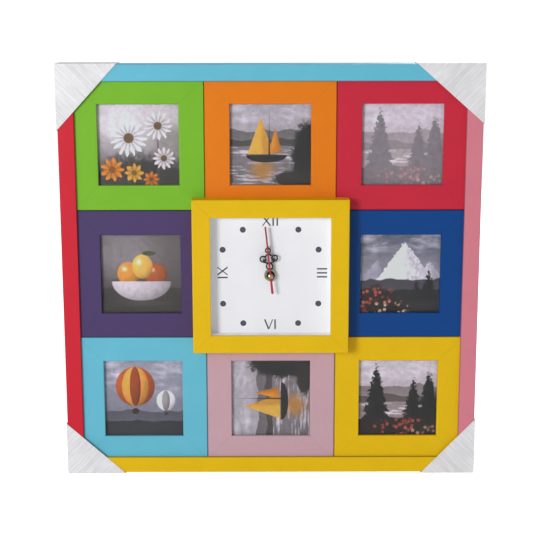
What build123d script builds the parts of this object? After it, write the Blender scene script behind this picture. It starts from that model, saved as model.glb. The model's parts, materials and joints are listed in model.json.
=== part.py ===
from build123d import *
import math
import os

# A wall clock in a collage of eight photo frames. Millimetres, +Z up, the front faces -Y.
# Depths are measured forward from the wall. x and z are measured from the hands' axis while
# the pieces are made; the finished pieces then drop, so that the two hanging holes lie at z = 0.

# Photo frames: eight square mitred frames round an empty middle cell
CELL = 130.0
FRAME_GAP = 0.3
FRAME_FACE = 25.0
FRAME_LIP = 3.0
FRAME_REBATE = 6.0
PANE_THICK = 1.2
PRINT_THICK = 0.4
BOARD_THICK = 3.0
BOARD_PLAY = 0.1
REBATE_CLEARANCE = 0.2
PRINT_MARGIN = 0.5
TONGUE_WIDTH = 30.0
TONGUE_LENGTH = 2.6
TONGUE_THICK = 1.4
TONGUE_SETBACK = 0.8
THUMB_NOTCH_R = 7.0
THUMB_NOTCH_X = 27.0

# Outer moulding
RAIL_FACE = 16.5
RAIL_DEPTH = 29.0
RAIL_LIP_WIDTH = 3.2
RAIL_LIP_THICK = 2.7
GRID_CLEARANCE = 0.2
MITRE_GAP = 0.12
EDGE_ROUND = 0.8
EDGE_BEVEL = 0.5

# Raised clock frame, its white liner and the dial
CLOCK_OVERLAP = 12.7
CLOCK_FACE = 18.1
CLOCK_DEPTH = 16.0
CLOCK_LIP = 3.0
LINER_WALL = 1.9
LINER_CLEARANCE = 0.1
DIAL_LEDGE = 7.5
DIAL_BOARD_THICK = 2.6
DIAL_CARD_THICK = 0.4
DIAL_CLEARANCE = 0.3

# Turn buttons that hold the backing boards, and their pivot screws
SCREW_R = 1.4
SCREW_HEAD_R = 2.8
SCREW_HEAD = 1.6
SCREW_BITE = 6.0
SCREW_CLEARANCE = 0.05
BUTTON_WIDTH = 9.0
BUTTON_ARM = 18.0
BUTTON_TAIL = 4.5
BUTTON_CORNER = 2.6
BUTTON_THICK = 1.0
BUTTON_PLAY = 0.1
PIVOT_CLEARANCE = 0.06

# Keyhole hanger plates
HANGER_SPACING = 130.0
HANGER_WIDTH = 22.0
HANGER_THICK = 1.0
HANGER_TOP_MARGIN = 1.5
HANGER_CORNER = 3.0
HANGER_HOLE_SPREAD = 13.0
HANGER_HOLE_R = 1.5
HANGER_SINK_R = 2.6
KEYHOLE_R = 4.0
KEYHOLE_SLOT_R = 2.1
KEYHOLE_SLOT_RISE = 7.0
KEYHOLE_DROP = 12.2
KEYHOLE_RIM = 3.0

# White card corner protectors: their two legs along the rails, corner by corner
CARD = 0.6
CARD_CLEARANCE = 0.25
CORNER_LEGS = {
    "top_left": (60.0, 65.0),
    "top_right": (67.0, 59.0),
    "bottom_left": (60.0, 54.0),
    "bottom_right": (55.0, 58.0),
}

# Quartz movement
CASE_ROUND = 3.0
CASE_WALL = 1.2
CASE_FRONT = 1.3
CASE_INNER = 13.0
COVER_THICK = 1.2
GASKET_THICK = 1.0
GASKET_R = 11.0
STEM_R = 4.0
STEM_TIP = 0.8
NUT_R = 6.4
NUT_THICK = 2.2
NUT_CHAMFER = 0.5
HOUR_TUBE_R = 2.6
MINUTE_TUBE_R = 1.7
SECOND_ARBOR_R = 0.65
POST_R = 0.5
RUNNING = 0.05
DIVIDER = 0.6
DIVIDER_GAP = 0.25

# Gear train: levels counted from the dial side, then teeth, modules and directions, axis by axis
HOUR_LEVEL = 0
MOTION_LEVEL = 1
CENTRE_LEVEL = 2
THIRD_LEVEL = 3
SECOND_LEVEL = 4
ROTOR_LEVEL = 5
GEAR_THICK = 1.2
LAYER_GAP = 0.6
WHEEL_PLAY = 0.2
ADDENDUM = 0.85
DEDENDUM = 1.15
ROOT_SHARE = 0.26
TIP_SHARE = 0.11
HUB_WALL = 0.3
PINION = 8
ROTOR_MODULE = 0.3
INTERMEDIATE_TEETH = 48
SECOND_MODULE = 0.4
SECOND_TEETH = 40
THIRD_MODULE = 0.36
THIRD_TEETH = 60
CENTRE_TEETH = 64
CANNON_TEETH = 12
MOTION_MODULE = 0.5
MOTION_TEETH = 36
MOTION_PINION = 10
HOUR_TEETH = 40
SETTING_TEETH = 12
INTERMEDIATE_ANGLE = 120.0
ROTOR_ANGLE = 100.0
THIRD_ANGLE = 30.0
MOTION_ANGLE = 180.0
SETTING_ANGLE = 135.0
SETTING_SHAFT_R = 1.2
KNOB_R = 6.6
KNOB_THICK = 2.0
KNOB_FLUTES = 18
KNOB_FLUTE = 0.7
KNOB_GAP = 0.2

# Motor, circuit and battery
MAGNET_R = 2.2
MAGNET_THICK = 2.0
STATOR_GAP = 0.4
STATOR_THICK = 1.0
STATOR_LENGTH = 26.0
STATOR_BAR = 6.8
STATOR_LEG = 3.6
CORE_WIDTH = 2.4
CORE_RISE = 7.2
COIL_R = 2.6
COIL_CLEARANCE = 0.1
COIL_ROOM = 0.4
STATOR_POST_R = 0.8
BOARD_HEIGHT = 14.0
BOARD_INSET = 1.0
BOARD_GAP = 1.9
PEG_INSET = 3.7
CIRCUIT_THICK = 1.0
PEG_R = 0.9
CRYSTAL_R = 1.0
CRYSTAL_LENGTH = 6.0
BATTERY_R = 7.25
BATTERY_LENGTH = 50.5
BATTERY_NUB_R = 2.75
BATTERY_NUB = 1.2
BATTERY_RIM = 0.6
BATTERY_CLEARANCE = 0.15
CONTACT_THICK = 0.4
CONTACT_WIDTH = 8.0
CONTACT_GAP = 0.2
CONTACT_BULGE = 1.9

# Hands, all three just before twelve. Lengths run along each hand from the axis
HAND_TILT = 6.0
HAND_SHEET = 0.4
HAND_STEP = 2.0
HAND_FIT = 0.02
TUBE_PROUD = 0.5
HOUR_HUB_R = 4.2
HOUR_TIP = 31.5
HOUR_STEM = 1.5
BASE_LOOP_AT = 9.7
BASE_LOOP_R = 3.8
SCROLL_AT = 17.6
SCROLL_OUT = 5.8
SCROLL_R = 3.5
SCROLL_BALL_R = 1.2
SCROLL_BALL_ANGLE = 53.0
HEAD_LOOP_AT = 25.8
HEAD_LOOP_R = 3.0
SCROLL_WIRE = 1.4
MINUTE_HUB_R = 3.2
MINUTE_TIP = 49.8
MINUTE_ROOT_WIDTH = 1.5
MINUTE_POINT_WIDTH = 1.7
SECOND_TIP = 50.5
SECOND_TAIL = 18.0
SECOND_HUB_R = 2.2
SECOND_WAIST = 1.9
SECOND_POINT = 1.1
SECOND_FLARE = 2.5
CAP_R = 2.75
CAP_RIM = 0.5
CAP_RISE = 1.7

# Depths from the wall, back to front
RAIL_BACK = HANGER_THICK
RAIL_FRONT = RAIL_BACK + RAIL_DEPTH
FRAME_FRONT = RAIL_FRONT - RAIL_LIP_THICK
FRAME_THICK = FRAME_LIP + PANE_THICK + PRINT_THICK + BOARD_THICK + BOARD_PLAY
FRAME_BACK = FRAME_FRONT - FRAME_THICK
PANE_BACK = FRAME_FRONT - FRAME_LIP - PANE_THICK
PRINT_BACK = PANE_BACK - PRINT_THICK
BOARD_BACK = PRINT_BACK - BOARD_THICK
BUTTON_BACK = FRAME_BACK - BUTTON_PLAY - BUTTON_THICK
CLOCK_FRONT = FRAME_FRONT + CLOCK_DEPTH
DIAL_FACE = FRAME_FRONT + DIAL_BOARD_THICK + DIAL_CARD_THICK
CASE_FACE = FRAME_FRONT - GASKET_THICK
INNER_FRONT = CASE_FACE - CASE_FRONT
COVER_FACE = INNER_FRONT - CASE_INNER
COVER_BACK = COVER_FACE - COVER_THICK
STEM_END = DIAL_FACE + NUT_THICK + STEM_TIP
HOUR_HAND_BACK = STEM_END + HAND_SHEET + TUBE_PROUD
MINUTE_HAND_BACK = HOUR_HAND_BACK + HAND_STEP
SECOND_HAND_BACK = MINUTE_HAND_BACK + HAND_STEP

# Half widths from the hands' axis, inside to outside
GRID_HALF = 1.5 * CELL + GRID_CLEARANCE
RAIL_INNER = GRID_HALF - RAIL_LIP_WIDTH
RAIL_OUTER = RAIL_INNER + RAIL_FACE
FRAME_HALF = (CELL - FRAME_GAP) / 2
WINDOW_HALF = CELL / 2 - FRAME_FACE
REBATE_HALF = WINDOW_HALF + FRAME_REBATE
PANE_HALF = REBATE_HALF - REBATE_CLEARANCE
BUTTON_PIVOT = (REBATE_HALF + FRAME_HALF) / 2
CLOCK_HALF = CELL / 2 + CLOCK_OVERLAP
OPENING_HALF = CLOCK_HALF - CLOCK_FACE
LINER_HALF = OPENING_HALF + LINER_WALL
DIAL_HALF = CLOCK_HALF - DIAL_LEDGE
DIAL_REBATE = DIAL_HALF + DIAL_CLEARANCE
HANG_HEIGHT = GRID_HALF - KEYHOLE_DROP
HANGER_HOLE_Z = (GRID_HALF + RAIL_OUTER) / 2

# The eight photo frames by colour, with their column and row about the middle cell
FRAMES = {
    "green": (-1, 1),
    "orange": (0, 1),
    "crimson": (1, 1),
    "purple": (-1, 0),
    "blue": (1, 0),
    "aqua": (-1, -1),
    "rose": (0, -1),
    "yellow": (1, -1),
}
CORNERS = {
    "top_left": (-1, 1),
    "top_right": (1, 1),
    "bottom_left": (-1, -1),
    "bottom_right": (1, -1),
}


def slab(sketch, back, thick):
    """A plate of the sketch, drawn in x and z, from the depth back towards the front."""
    return extrude(Plane.XZ.offset(back) * sketch, thick)


def disc(radius, back, thick, centre=(0, 0)):
    return slab(Pos(*centre) * Circle(radius), back, thick)


def tube(outer, inner, back, thick, centre=(0, 0)):
    return slab(Pos(*centre) * (Circle(outer) - Circle(inner)), back, thick)


def square(half):
    return Rectangle(2 * half, 2 * half)


def polar(origin, distance, degrees):
    angle = math.radians(degrees)
    return (origin[0] + distance * math.cos(angle), origin[1] + distance * math.sin(angle))


def cell_centre(name):
    column, row = FRAMES[name]
    return Pos(column * CELL, 0, row * CELL)


def mitred_rails(outer, steps, front, soften, edge):
    """Four rails with mitred ends, top first and clockwise.

    steps run from the front to the back, each with the half width of its opening and its depth.
    soften is fillet or chamfer, for the two front edges.
    """
    corners = [(-front, outer)]
    inside = []
    depth = front
    for half, thick in steps:
        inside += [(-depth, half), (-(depth - thick), half)]
        depth -= thick
    corners.append((-depth, outer))
    profile = make_face(Polyline(*corners, *reversed(inside), close=True))
    front_edges = profile.vertices().filter_by(lambda v: abs(v.X + front) < 0.01)
    profile = soften(front_edges, edge)
    bar = extrude(Plane.YZ * profile, outer, both=True)
    apex = MITRE_GAP / math.sqrt(2)
    wedge = Polygon((0, apex), (outer, outer + apex), (-outer, outer + apex), align=None)
    top = bar & slab(wedge, depth, front - depth)
    return [Rot(0, turn, 0) * top for turn in (0, 90, 180, 270)]


# Outer moulding

def outer_rails():
    steps = [(RAIL_INNER, RAIL_LIP_THICK), (GRID_HALF, RAIL_DEPTH - RAIL_LIP_THICK)]
    rails = mitred_rails(RAIL_OUTER, steps, RAIL_FRONT, fillet, EDGE_ROUND)
    return dict(zip(("top", "right", "bottom", "left"), rails))


# Photo frames

def photo_frame(name):
    steps = [(WINDOW_HALF, FRAME_LIP), (REBATE_HALF, FRAME_THICK - FRAME_LIP)]
    rails = mitred_rails(FRAME_HALF, steps, FRAME_FRONT, chamfer, EDGE_BEVEL)
    rails[0] -= disc(SCREW_R + SCREW_CLEARANCE, FRAME_BACK, SCREW_BITE, (0, BUTTON_PIVOT))
    slot_depth = TONGUE_LENGTH + REBATE_CLEARANCE
    slot = Rectangle(TONGUE_WIDTH + 2 * REBATE_CLEARANCE, slot_depth)
    slot = Pos(0, -REBATE_HALF - slot_depth / 2) * slot
    slot_thick = TONGUE_THICK + 2 * BOARD_PLAY
    rails[2] -= slab(slot, BOARD_BACK + TONGUE_SETBACK - BOARD_PLAY, slot_thick)
    return [cell_centre(name) * rail for rail in rails]


def window_pane():
    return slab(square(PANE_HALF), PANE_BACK, PANE_THICK)


def photo_print():
    return slab(square(PANE_HALF - PRINT_MARGIN), PRINT_BACK, PRINT_THICK)


def backing_board():
    """A board with a tongue along its foot and a thumb notch beside the turn button."""
    notch = Pos(THUMB_NOTCH_X, PANE_HALF) * Circle(THUMB_NOTCH_R)
    board = slab(square(PANE_HALF) - notch, BOARD_BACK, BOARD_THICK)
    reach = TONGUE_LENGTH + REBATE_CLEARANCE
    tongue = Pos(0, -PANE_HALF - reach / 2) * Rectangle(TONGUE_WIDTH, reach)
    return board + slab(tongue, BOARD_BACK + TONGUE_SETBACK, TONGUE_THICK)


def turn_button():
    """A flat steel button that hangs from its pivot over the board's edge."""
    middle = (BUTTON_TAIL - BUTTON_ARM) / 2
    outline = Pos(0, middle) * Rectangle(BUTTON_WIDTH, BUTTON_ARM + BUTTON_TAIL)
    outline = chamfer(outline.vertices(), BUTTON_CORNER)
    outline -= Circle(SCREW_R + PIVOT_CLEARANCE)
    return Pos(0, 0, BUTTON_PIVOT) * slab(outline, BUTTON_BACK, BUTTON_THICK)


def pivot_screw():
    """A screw in the frame's top rail; its head keeps the button on."""
    seat = BUTTON_BACK - BUTTON_PLAY
    tip = FRAME_BACK + SCREW_BITE - BOARD_PLAY
    head = disc(SCREW_HEAD_R, seat - SCREW_HEAD, SCREW_HEAD)
    return Pos(0, 0, BUTTON_PIVOT) * (head + disc(SCREW_R, seat, tip - seat))


# Clock frame and dial

def clock_frame():
    dial_thick = DIAL_BOARD_THICK + DIAL_CARD_THICK
    steps = [
        (OPENING_HALF, CLOCK_LIP),
        (LINER_HALF + LINER_CLEARANCE, CLOCK_DEPTH - CLOCK_LIP - dial_thick),
        (DIAL_REBATE, dial_thick),
    ]
    return mitred_rails(CLOCK_HALF, steps, CLOCK_FRONT, fillet, EDGE_ROUND)


def dial_liner():
    depth = CLOCK_FRONT - CLOCK_LIP - DIAL_FACE
    return slab(square(LINER_HALF) - square(LINER_HALF - LINER_WALL), DIAL_FACE, depth)


def dial_board():
    return slab(square(DIAL_HALF) - Circle(STEM_R + DIAL_CLEARANCE), FRAME_FRONT, DIAL_BOARD_THICK)


def dial_card():
    sheet = square(DIAL_HALF) - Circle(STEM_R + DIAL_CLEARANCE)
    return slab(sheet, FRAME_FRONT + DIAL_BOARD_THICK, DIAL_CARD_THICK)


# Hanging hardware

def hanger_plate():
    """A plate on the back of the top rail, with its keyhole below the rail and two countersunk holes."""
    top = RAIL_OUTER - HANGER_TOP_MARGIN
    foot = HANG_HEIGHT - KEYHOLE_R - KEYHOLE_RIM
    outline = Pos(0, (top + foot) / 2) * Rectangle(HANGER_WIDTH, top - foot)
    outline = chamfer(outline.vertices(), HANGER_CORNER)
    slot = SlotCenterToCenter(KEYHOLE_SLOT_RISE, 2 * KEYHOLE_SLOT_R, rotation=90)
    keyhole = Circle(KEYHOLE_R) + Pos(0, KEYHOLE_SLOT_RISE / 2) * slot
    plate = slab(outline - Pos(0, HANG_HEIGHT) * keyhole, 0, HANGER_THICK)
    sink = Cone(HANGER_HOLE_R, HANGER_SINK_R, HANGER_THICK, rotation=(-90, 0, 0))
    for side in (-1, 1):
        place = Pos(side * HANGER_HOLE_SPREAD / 2, -HANGER_THICK / 2, HANGER_HOLE_Z)
        plate -= place * sink
    return plate


# Card corner protectors

def corner_protector(name):
    """A folded pocket of card over one corner: two flaps and two side walls."""
    across, down = CORNERS[name]
    leg_x, leg_z = CORNER_LEGS[name]
    inside = RAIL_OUTER + CARD_CLEARANCE
    outside = inside + CARD
    back = RAIL_BACK - CARD_CLEARANCE - CARD
    front = RAIL_FRONT + CARD_CLEARANCE
    corner = (across * outside, down * outside)
    fold = (across * inside, down * inside)
    end_x = (across * (outside - leg_x), down * outside)
    end_z = (across * outside, down * (outside - leg_z))
    flap = make_face(Polyline(corner, end_x, end_z, close=True))
    wall_x = make_face(Polyline(corner, end_x, (end_x[0], fold[1]), fold, close=True))
    wall_z = make_face(Polyline(corner, end_z, (fold[0], end_z[1]), fold, close=True))
    depth = front + CARD - back
    pocket = slab(flap, back, CARD) + slab(flap, front, CARD)
    return pocket + slab(wall_x, back, depth) + slab(wall_z, back, depth)


# Quartz movement: axes of the gear train

def spacing(teeth_a, teeth_b, module):
    return (teeth_a + teeth_b) * module / 2


AXIS = (0.0, 0.0)
THIRD_SPACING = spacing(PINION, THIRD_TEETH, THIRD_MODULE)
CENTRE_MODULE = 2 * THIRD_SPACING / (PINION + CENTRE_TEETH)
MOTION_SPACING = spacing(CANNON_TEETH, MOTION_TEETH, MOTION_MODULE)
HOUR_MODULE = 2 * MOTION_SPACING / (MOTION_PINION + HOUR_TEETH)
INTERMEDIATE = polar(AXIS, spacing(PINION, SECOND_TEETH, SECOND_MODULE), INTERMEDIATE_ANGLE)
ROTOR = polar(INTERMEDIATE, spacing(PINION, INTERMEDIATE_TEETH, ROTOR_MODULE), ROTOR_ANGLE)
THIRD = polar(AXIS, THIRD_SPACING, THIRD_ANGLE)
MOTION = polar(AXIS, MOTION_SPACING, MOTION_ANGLE)
SETTING = polar(MOTION, spacing(SETTING_TEETH, MOTION_TEETH, MOTION_MODULE), SETTING_ANGLE)
CENTRE_TIP_R = CENTRE_MODULE * (CENTRE_TEETH / 2 + ADDENDUM)
DIVIDER_TOP = -CENTRE_TIP_R - DIVIDER_GAP
BAY_TOP = DIVIDER_TOP - DIVIDER
BATTERY_Z = BAY_TOP - BATTERY_CLEARANCE - BATTERY_R
BATTERY_DEPTH = INNER_FRONT - BATTERY_CLEARANCE - BATTERY_R

# The case closes round the widest of what it holds
BATTERY_NEEDS = (BATTERY_LENGTH + CONTACT_BULGE) / 2 + CONTACT_THICK + CONTACT_GAP
SETTING_NEEDS = MOTION_MODULE * (SETTING_TEETH / 2 + ADDENDUM) + WHEEL_PLAY - SETTING[0]
CASE_ROOM = max(BATTERY_NEEDS, SETTING_NEEDS)
CASE_HALF = CASE_ROOM + CASE_WALL
ROOM_TOP = ROTOR[1] + CORE_RISE + COIL_R + COIL_ROOM
CASE_TOP = ROOM_TOP + CASE_WALL
ROOM_FOOT = BATTERY_Z - BATTERY_R - BATTERY_CLEARANCE
CASE_FOOT = ROOM_FOOT - CASE_WALL
BEARING_R = SECOND_ARBOR_R + RUNNING
BOARD_LENGTH = CASE_ROOM - BOARD_INSET - BOARD_GAP - BEARING_R - CASE_WALL


def layer_back(level):
    """Back face of the gears on a level, counted from the dial side."""
    return INNER_FRONT - WHEEL_PLAY - (level + 1) * GEAR_THICK - level * LAYER_GAP


MAGNET_BACK = layer_back(ROTOR_LEVEL) + GEAR_THICK + LAYER_GAP
STATOR_BACK = MAGNET_BACK + (MAGNET_THICK - STATOR_THICK) / 2


def mate_angle(teeth_a, angle_a, teeth_b, direction):
    """Tooth angle of gear b, so that a gap of it faces the teeth of gear a, all in degrees."""
    return direction + 180 + 180 / teeth_b - (angle_a - direction) * teeth_a / teeth_b


def gear(teeth, module, tooth_angle, level, centre=AXIS):
    """One toothed wheel with a tooth at tooth_angle degrees from +x towards +z."""
    pitch_r = teeth * module / 2
    root = pitch_r - DEDENDUM * module
    tip = pitch_r + ADDENDUM * module
    step = 360 / teeth
    tooth = ((root, -ROOT_SHARE), (tip, -TIP_SHARE), (tip, TIP_SHARE), (root, ROOT_SHARE))
    points = []
    for index in range(teeth):
        for radius, share in tooth:
            points.append(polar(centre, radius, tooth_angle + (index + share) * step))
    return slab(make_face(Polyline(*points, close=True)), layer_back(level), GEAR_THICK)


def hub(bore, back_level, front_level, centre):
    back = layer_back(back_level)
    return tube(bore + HUB_WALL, bore, back, layer_back(front_level) + GEAR_THICK - back, centre)


def on_post(body, centre, back, front):
    """Bore a wheel to run on its fixed post."""
    return body - disc(POST_R + RUNNING, back, front - back, centre)


def rotor():
    bore = POST_R + RUNNING
    back = layer_back(ROTOR_LEVEL)
    pinion = gear(PINION, ROTOR_MODULE, ROTOR_ANGLE + 180, ROTOR_LEVEL, ROTOR)
    neck = tube(bore + HUB_WALL, bore, back, MAGNET_BACK - back, ROTOR)
    magnet = tube(MAGNET_R, bore, MAGNET_BACK, MAGNET_THICK, ROTOR)
    return on_post(pinion, ROTOR, back, INNER_FRONT) + neck + magnet


def intermediate_wheel():
    wheel_angle = mate_angle(PINION, ROTOR_ANGLE + 180, INTERMEDIATE_TEETH, ROTOR_ANGLE + 180)
    wheel = gear(INTERMEDIATE_TEETH, ROTOR_MODULE, wheel_angle, ROTOR_LEVEL, INTERMEDIATE)
    pinion = gear(PINION, SECOND_MODULE, INTERMEDIATE_ANGLE + 180, SECOND_LEVEL, INTERMEDIATE)
    body = wheel + pinion + hub(POST_R + RUNNING, ROTOR_LEVEL, SECOND_LEVEL, INTERMEDIATE)
    return on_post(body, INTERMEDIATE, COVER_FACE, INNER_FRONT)


def second_wheel():
    """The second hand's wheel and pinion on one arbor, from the cover to the hand."""
    towards = INTERMEDIATE_ANGLE + 180
    wheel_angle = mate_angle(PINION, towards, SECOND_TEETH, towards)
    wheel = gear(SECOND_TEETH, SECOND_MODULE, wheel_angle, SECOND_LEVEL)
    pinion = gear(PINION, THIRD_MODULE, THIRD_ANGLE, THIRD_LEVEL)
    arbor_back = COVER_BACK + COVER_THICK / 2
    arbor = disc(SECOND_ARBOR_R, arbor_back, SECOND_HAND_BACK + HAND_SHEET - arbor_back)
    return wheel + pinion + arbor


def third_wheel():
    wheel_angle = mate_angle(PINION, THIRD_ANGLE, THIRD_TEETH, THIRD_ANGLE)
    wheel = gear(THIRD_TEETH, THIRD_MODULE, wheel_angle, THIRD_LEVEL, THIRD)
    pinion = gear(PINION, CENTRE_MODULE, THIRD_ANGLE + 180, CENTRE_LEVEL, THIRD)
    body = wheel + pinion + hub(POST_R + RUNNING, THIRD_LEVEL, CENTRE_LEVEL, THIRD)
    return on_post(body, THIRD, COVER_FACE, INNER_FRONT)


def centre_wheel():
    """The wheel that drags the minute arbor by friction and slips when the hands are set."""
    wheel_angle = mate_angle(PINION, THIRD_ANGLE + 180, CENTRE_TEETH, THIRD_ANGLE + 180)
    wheel = gear(CENTRE_TEETH, CENTRE_MODULE, wheel_angle, CENTRE_LEVEL)
    return wheel - disc(MINUTE_TUBE_R + RUNNING, layer_back(CENTRE_LEVEL), GEAR_THICK)


def minute_arbor():
    pinion = gear(CANNON_TEETH, MOTION_MODULE, MOTION_ANGLE, MOTION_LEVEL)
    back = layer_back(CENTRE_LEVEL)
    front = MINUTE_HAND_BACK + HAND_SHEET + TUBE_PROUD
    body = pinion + disc(MINUTE_TUBE_R, back, front - back)
    return body - disc(SECOND_ARBOR_R + RUNNING, back, front - back)


def motion_wheel_angle():
    return mate_angle(CANNON_TEETH, MOTION_ANGLE, MOTION_TEETH, MOTION_ANGLE)


def motion_wheel():
    wheel = gear(MOTION_TEETH, MOTION_MODULE, motion_wheel_angle(), MOTION_LEVEL, MOTION)
    pinion = gear(MOTION_PINION, HOUR_MODULE, MOTION_ANGLE + 180, HOUR_LEVEL, MOTION)
    body = wheel + pinion + hub(POST_R + RUNNING, MOTION_LEVEL, HOUR_LEVEL, MOTION)
    return on_post(body, MOTION, COVER_FACE, INNER_FRONT)


def hour_wheel():
    towards = MOTION_ANGLE + 180
    wheel_angle = mate_angle(MOTION_PINION, towards, HOUR_TEETH, towards)
    back = layer_back(HOUR_LEVEL)
    front = HOUR_HAND_BACK + HAND_SHEET + TUBE_PROUD
    wheel = gear(HOUR_TEETH, HOUR_MODULE, wheel_angle, HOUR_LEVEL)
    body = wheel + disc(HOUR_TUBE_R, back, front - back)
    return body - disc(MINUTE_TUBE_R + RUNNING, back, front - back)


def setting_wheel():
    """The setting pinion, its shaft through the cover and the fluted knob behind it."""
    angle = mate_angle(MOTION_TEETH, motion_wheel_angle(), SETTING_TEETH, SETTING_ANGLE)
    knob_back = COVER_BACK - KNOB_GAP - KNOB_THICK
    front = INNER_FRONT + CASE_FRONT / 2
    rim = []
    for index in range(KNOB_FLUTES):
        rim.append(polar(SETTING, KNOB_R, 360 * index / KNOB_FLUTES))
        rim.append(polar(SETTING, KNOB_R - KNOB_FLUTE, 360 * (index + 0.5) / KNOB_FLUTES))
    body = gear(SETTING_TEETH, MOTION_MODULE, angle, MOTION_LEVEL, SETTING)
    body += disc(SETTING_SHAFT_R, knob_back, front - knob_back, SETTING)
    return body + slab(make_face(Polyline(*rim, close=True)), knob_back, KNOB_THICK)


# Movement housing

def stator_posts():
    reach = (STATOR_LENGTH - STATOR_LEG) / 2
    return [(ROTOR[0] - reach, ROTOR[1]), (ROTOR[0] + reach, ROTOR[1])]


def upright(half, top, foot):
    """A rectangle of that half width between two heights."""
    return Pos(0, (top + foot) / 2) * Rectangle(2 * half, top - foot)


def case_outline():
    outline = upright(CASE_HALF, CASE_TOP, CASE_FOOT)
    return fillet(outline.vertices(), CASE_ROUND)


def movement_case():
    """The front shell: gear room above, open battery bay below, threaded stem in front."""
    body = slab(case_outline(), COVER_FACE, CASE_FACE - COVER_FACE)
    body -= slab(upright(CASE_ROOM, ROOM_TOP, DIVIDER_TOP), COVER_FACE, CASE_INNER)
    body -= slab(upright(CASE_ROOM, BAY_TOP, ROOM_FOOT), COVER_FACE, CASE_INNER)
    body += disc(STEM_R, CASE_FACE, STEM_END - CASE_FACE)
    body -= disc(HOUR_TUBE_R + RUNNING, INNER_FRONT, STEM_END - INNER_FRONT)
    for level, place in ((THIRD_LEVEL, THIRD), (MOTION_LEVEL, MOTION)):
        back = layer_back(level)
        body += disc(POST_R, back, INNER_FRONT - back, place)
    stator_front = STATOR_BACK + STATOR_THICK
    for place in stator_posts():
        body += disc(STATOR_POST_R, stator_front, INNER_FRONT - stator_front, place)
        body += disc(POST_R, STATOR_BACK, STATOR_THICK, place)
    socket = CASE_FRONT / 2 + WHEEL_PLAY
    return body - disc(SETTING_SHAFT_R + RUNNING, INNER_FRONT, socket, SETTING)


def circuit_centre():
    return (CASE_ROOM - BOARD_INSET - BOARD_LENGTH / 2, DIVIDER_TOP + BOARD_INSET + BOARD_HEIGHT / 2)


def circuit_pegs():
    x, z = circuit_centre()
    reach = BOARD_LENGTH / 2 - PEG_INSET
    return [(x - reach, z), (x + reach, z)]


def movement_cover():
    """The back cover of the gear room, with the rear posts and the arbor's bearing."""
    outline = case_outline() & upright(CASE_HALF, CASE_TOP, BAY_TOP)
    body = slab(outline, COVER_BACK, COVER_THICK)
    body += disc(BEARING_R + CASE_WALL, COVER_FACE, CASE_WALL)
    bearing_back = COVER_BACK + COVER_THICK / 2 - WHEEL_PLAY
    body -= disc(BEARING_R, bearing_back, COVER_FACE + CASE_WALL - bearing_back)
    body += disc(POST_R, COVER_FACE, layer_back(SECOND_LEVEL) + GEAR_THICK - COVER_FACE, INTERMEDIATE)
    body += disc(POST_R, COVER_FACE, MAGNET_BACK + MAGNET_THICK - COVER_FACE, ROTOR)
    for peg in circuit_pegs():
        body += disc(PEG_R, COVER_FACE, CIRCUIT_THICK, peg)
    return body - disc(SETTING_SHAFT_R + RUNNING, COVER_BACK, COVER_THICK, SETTING)


def rubber_washer():
    return tube(GASKET_R, STEM_R + DIAL_CLEARANCE, CASE_FACE, GASKET_THICK)


def fixing_nut():
    """A round nut with its front edge turned off."""
    body = tube(NUT_R, STEM_R + RUNNING, DIAL_FACE, NUT_THICK)
    front_rim = body.faces().sort_by(Axis.Y)[0].edges().sort_by(SortBy.RADIUS)[-1]
    return chamfer(front_rim, NUT_CHAMFER)


# Motor, circuit and battery

def stator():
    """A closed loop of soft iron: the bar with the rotor's hole, two legs and the coil's core."""
    foot = ROTOR[1] - STATOR_BAR / 2
    core_z = ROTOR[1] + CORE_RISE
    top = core_z + CORE_WIDTH / 2
    plate = Pos(ROTOR[0], (top + foot) / 2) * Rectangle(STATOR_LENGTH, top - foot)
    opening_foot = ROTOR[1] + STATOR_BAR / 2
    opening_top = core_z - CORE_WIDTH / 2
    opening = Rectangle(STATOR_LENGTH - 2 * STATOR_LEG, opening_top - opening_foot)
    plate -= Pos(ROTOR[0], (opening_top + opening_foot) / 2) * opening
    plate -= Pos(*ROTOR) * Circle(MAGNET_R + STATOR_GAP)
    for place in stator_posts():
        plate -= Pos(*place) * Circle(POST_R + SCREW_CLEARANCE)
    return slab(plate, STATOR_BACK, STATOR_THICK)


def coil():
    """The winding on the core, a bobbin between the stator's legs."""
    length = STATOR_LENGTH - 2 * STATOR_LEG - 2 * COIL_CLEARANCE
    middle = Pos(ROTOR[0], -(STATOR_BACK + STATOR_THICK / 2), ROTOR[1] + CORE_RISE)
    winding = Cylinder(COIL_R, length, rotation=(0, 90, 0))
    core = Box(length, STATOR_THICK + 2 * COIL_CLEARANCE, CORE_WIDTH + 2 * COIL_CLEARANCE)
    return middle * (winding - core)


def circuit_board():
    plate = Pos(*circuit_centre()) * Rectangle(BOARD_LENGTH, BOARD_HEIGHT)
    for peg in circuit_pegs():
        plate -= Pos(*peg) * Circle(PEG_R + SCREW_CLEARANCE)
    return slab(plate, COVER_FACE, CIRCUIT_THICK)


def quartz_crystal():
    """A small can that lies on the circuit board."""
    x, z = circuit_centre()
    depth = COVER_FACE + CIRCUIT_THICK + CRYSTAL_R + RUNNING
    can = Cylinder(CRYSTAL_R, CRYSTAL_LENGTH, rotation=(0, 90, 0))
    return Pos(x, -depth, z - BOARD_HEIGHT / 4) * can


def battery():
    """A cylindrical cell lying across the bay, its nub to the right."""
    can_length = BATTERY_LENGTH - BATTERY_NUB
    can = Cylinder(BATTERY_R, can_length, rotation=(0, 90, 0))
    can = chamfer(can.edges().filter_by(GeomType.CIRCLE), BATTERY_RIM)
    nub = Cylinder(BATTERY_NUB_R, BATTERY_NUB, rotation=(0, 90, 0))
    can += Pos(BATTERY_LENGTH / 2, 0, 0) * nub
    right_end = CASE_ROOM - CONTACT_THICK - CONTACT_GAP
    return Pos(right_end - BATTERY_NUB - can_length / 2, -BATTERY_DEPTH, BATTERY_Z) * can


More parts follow.
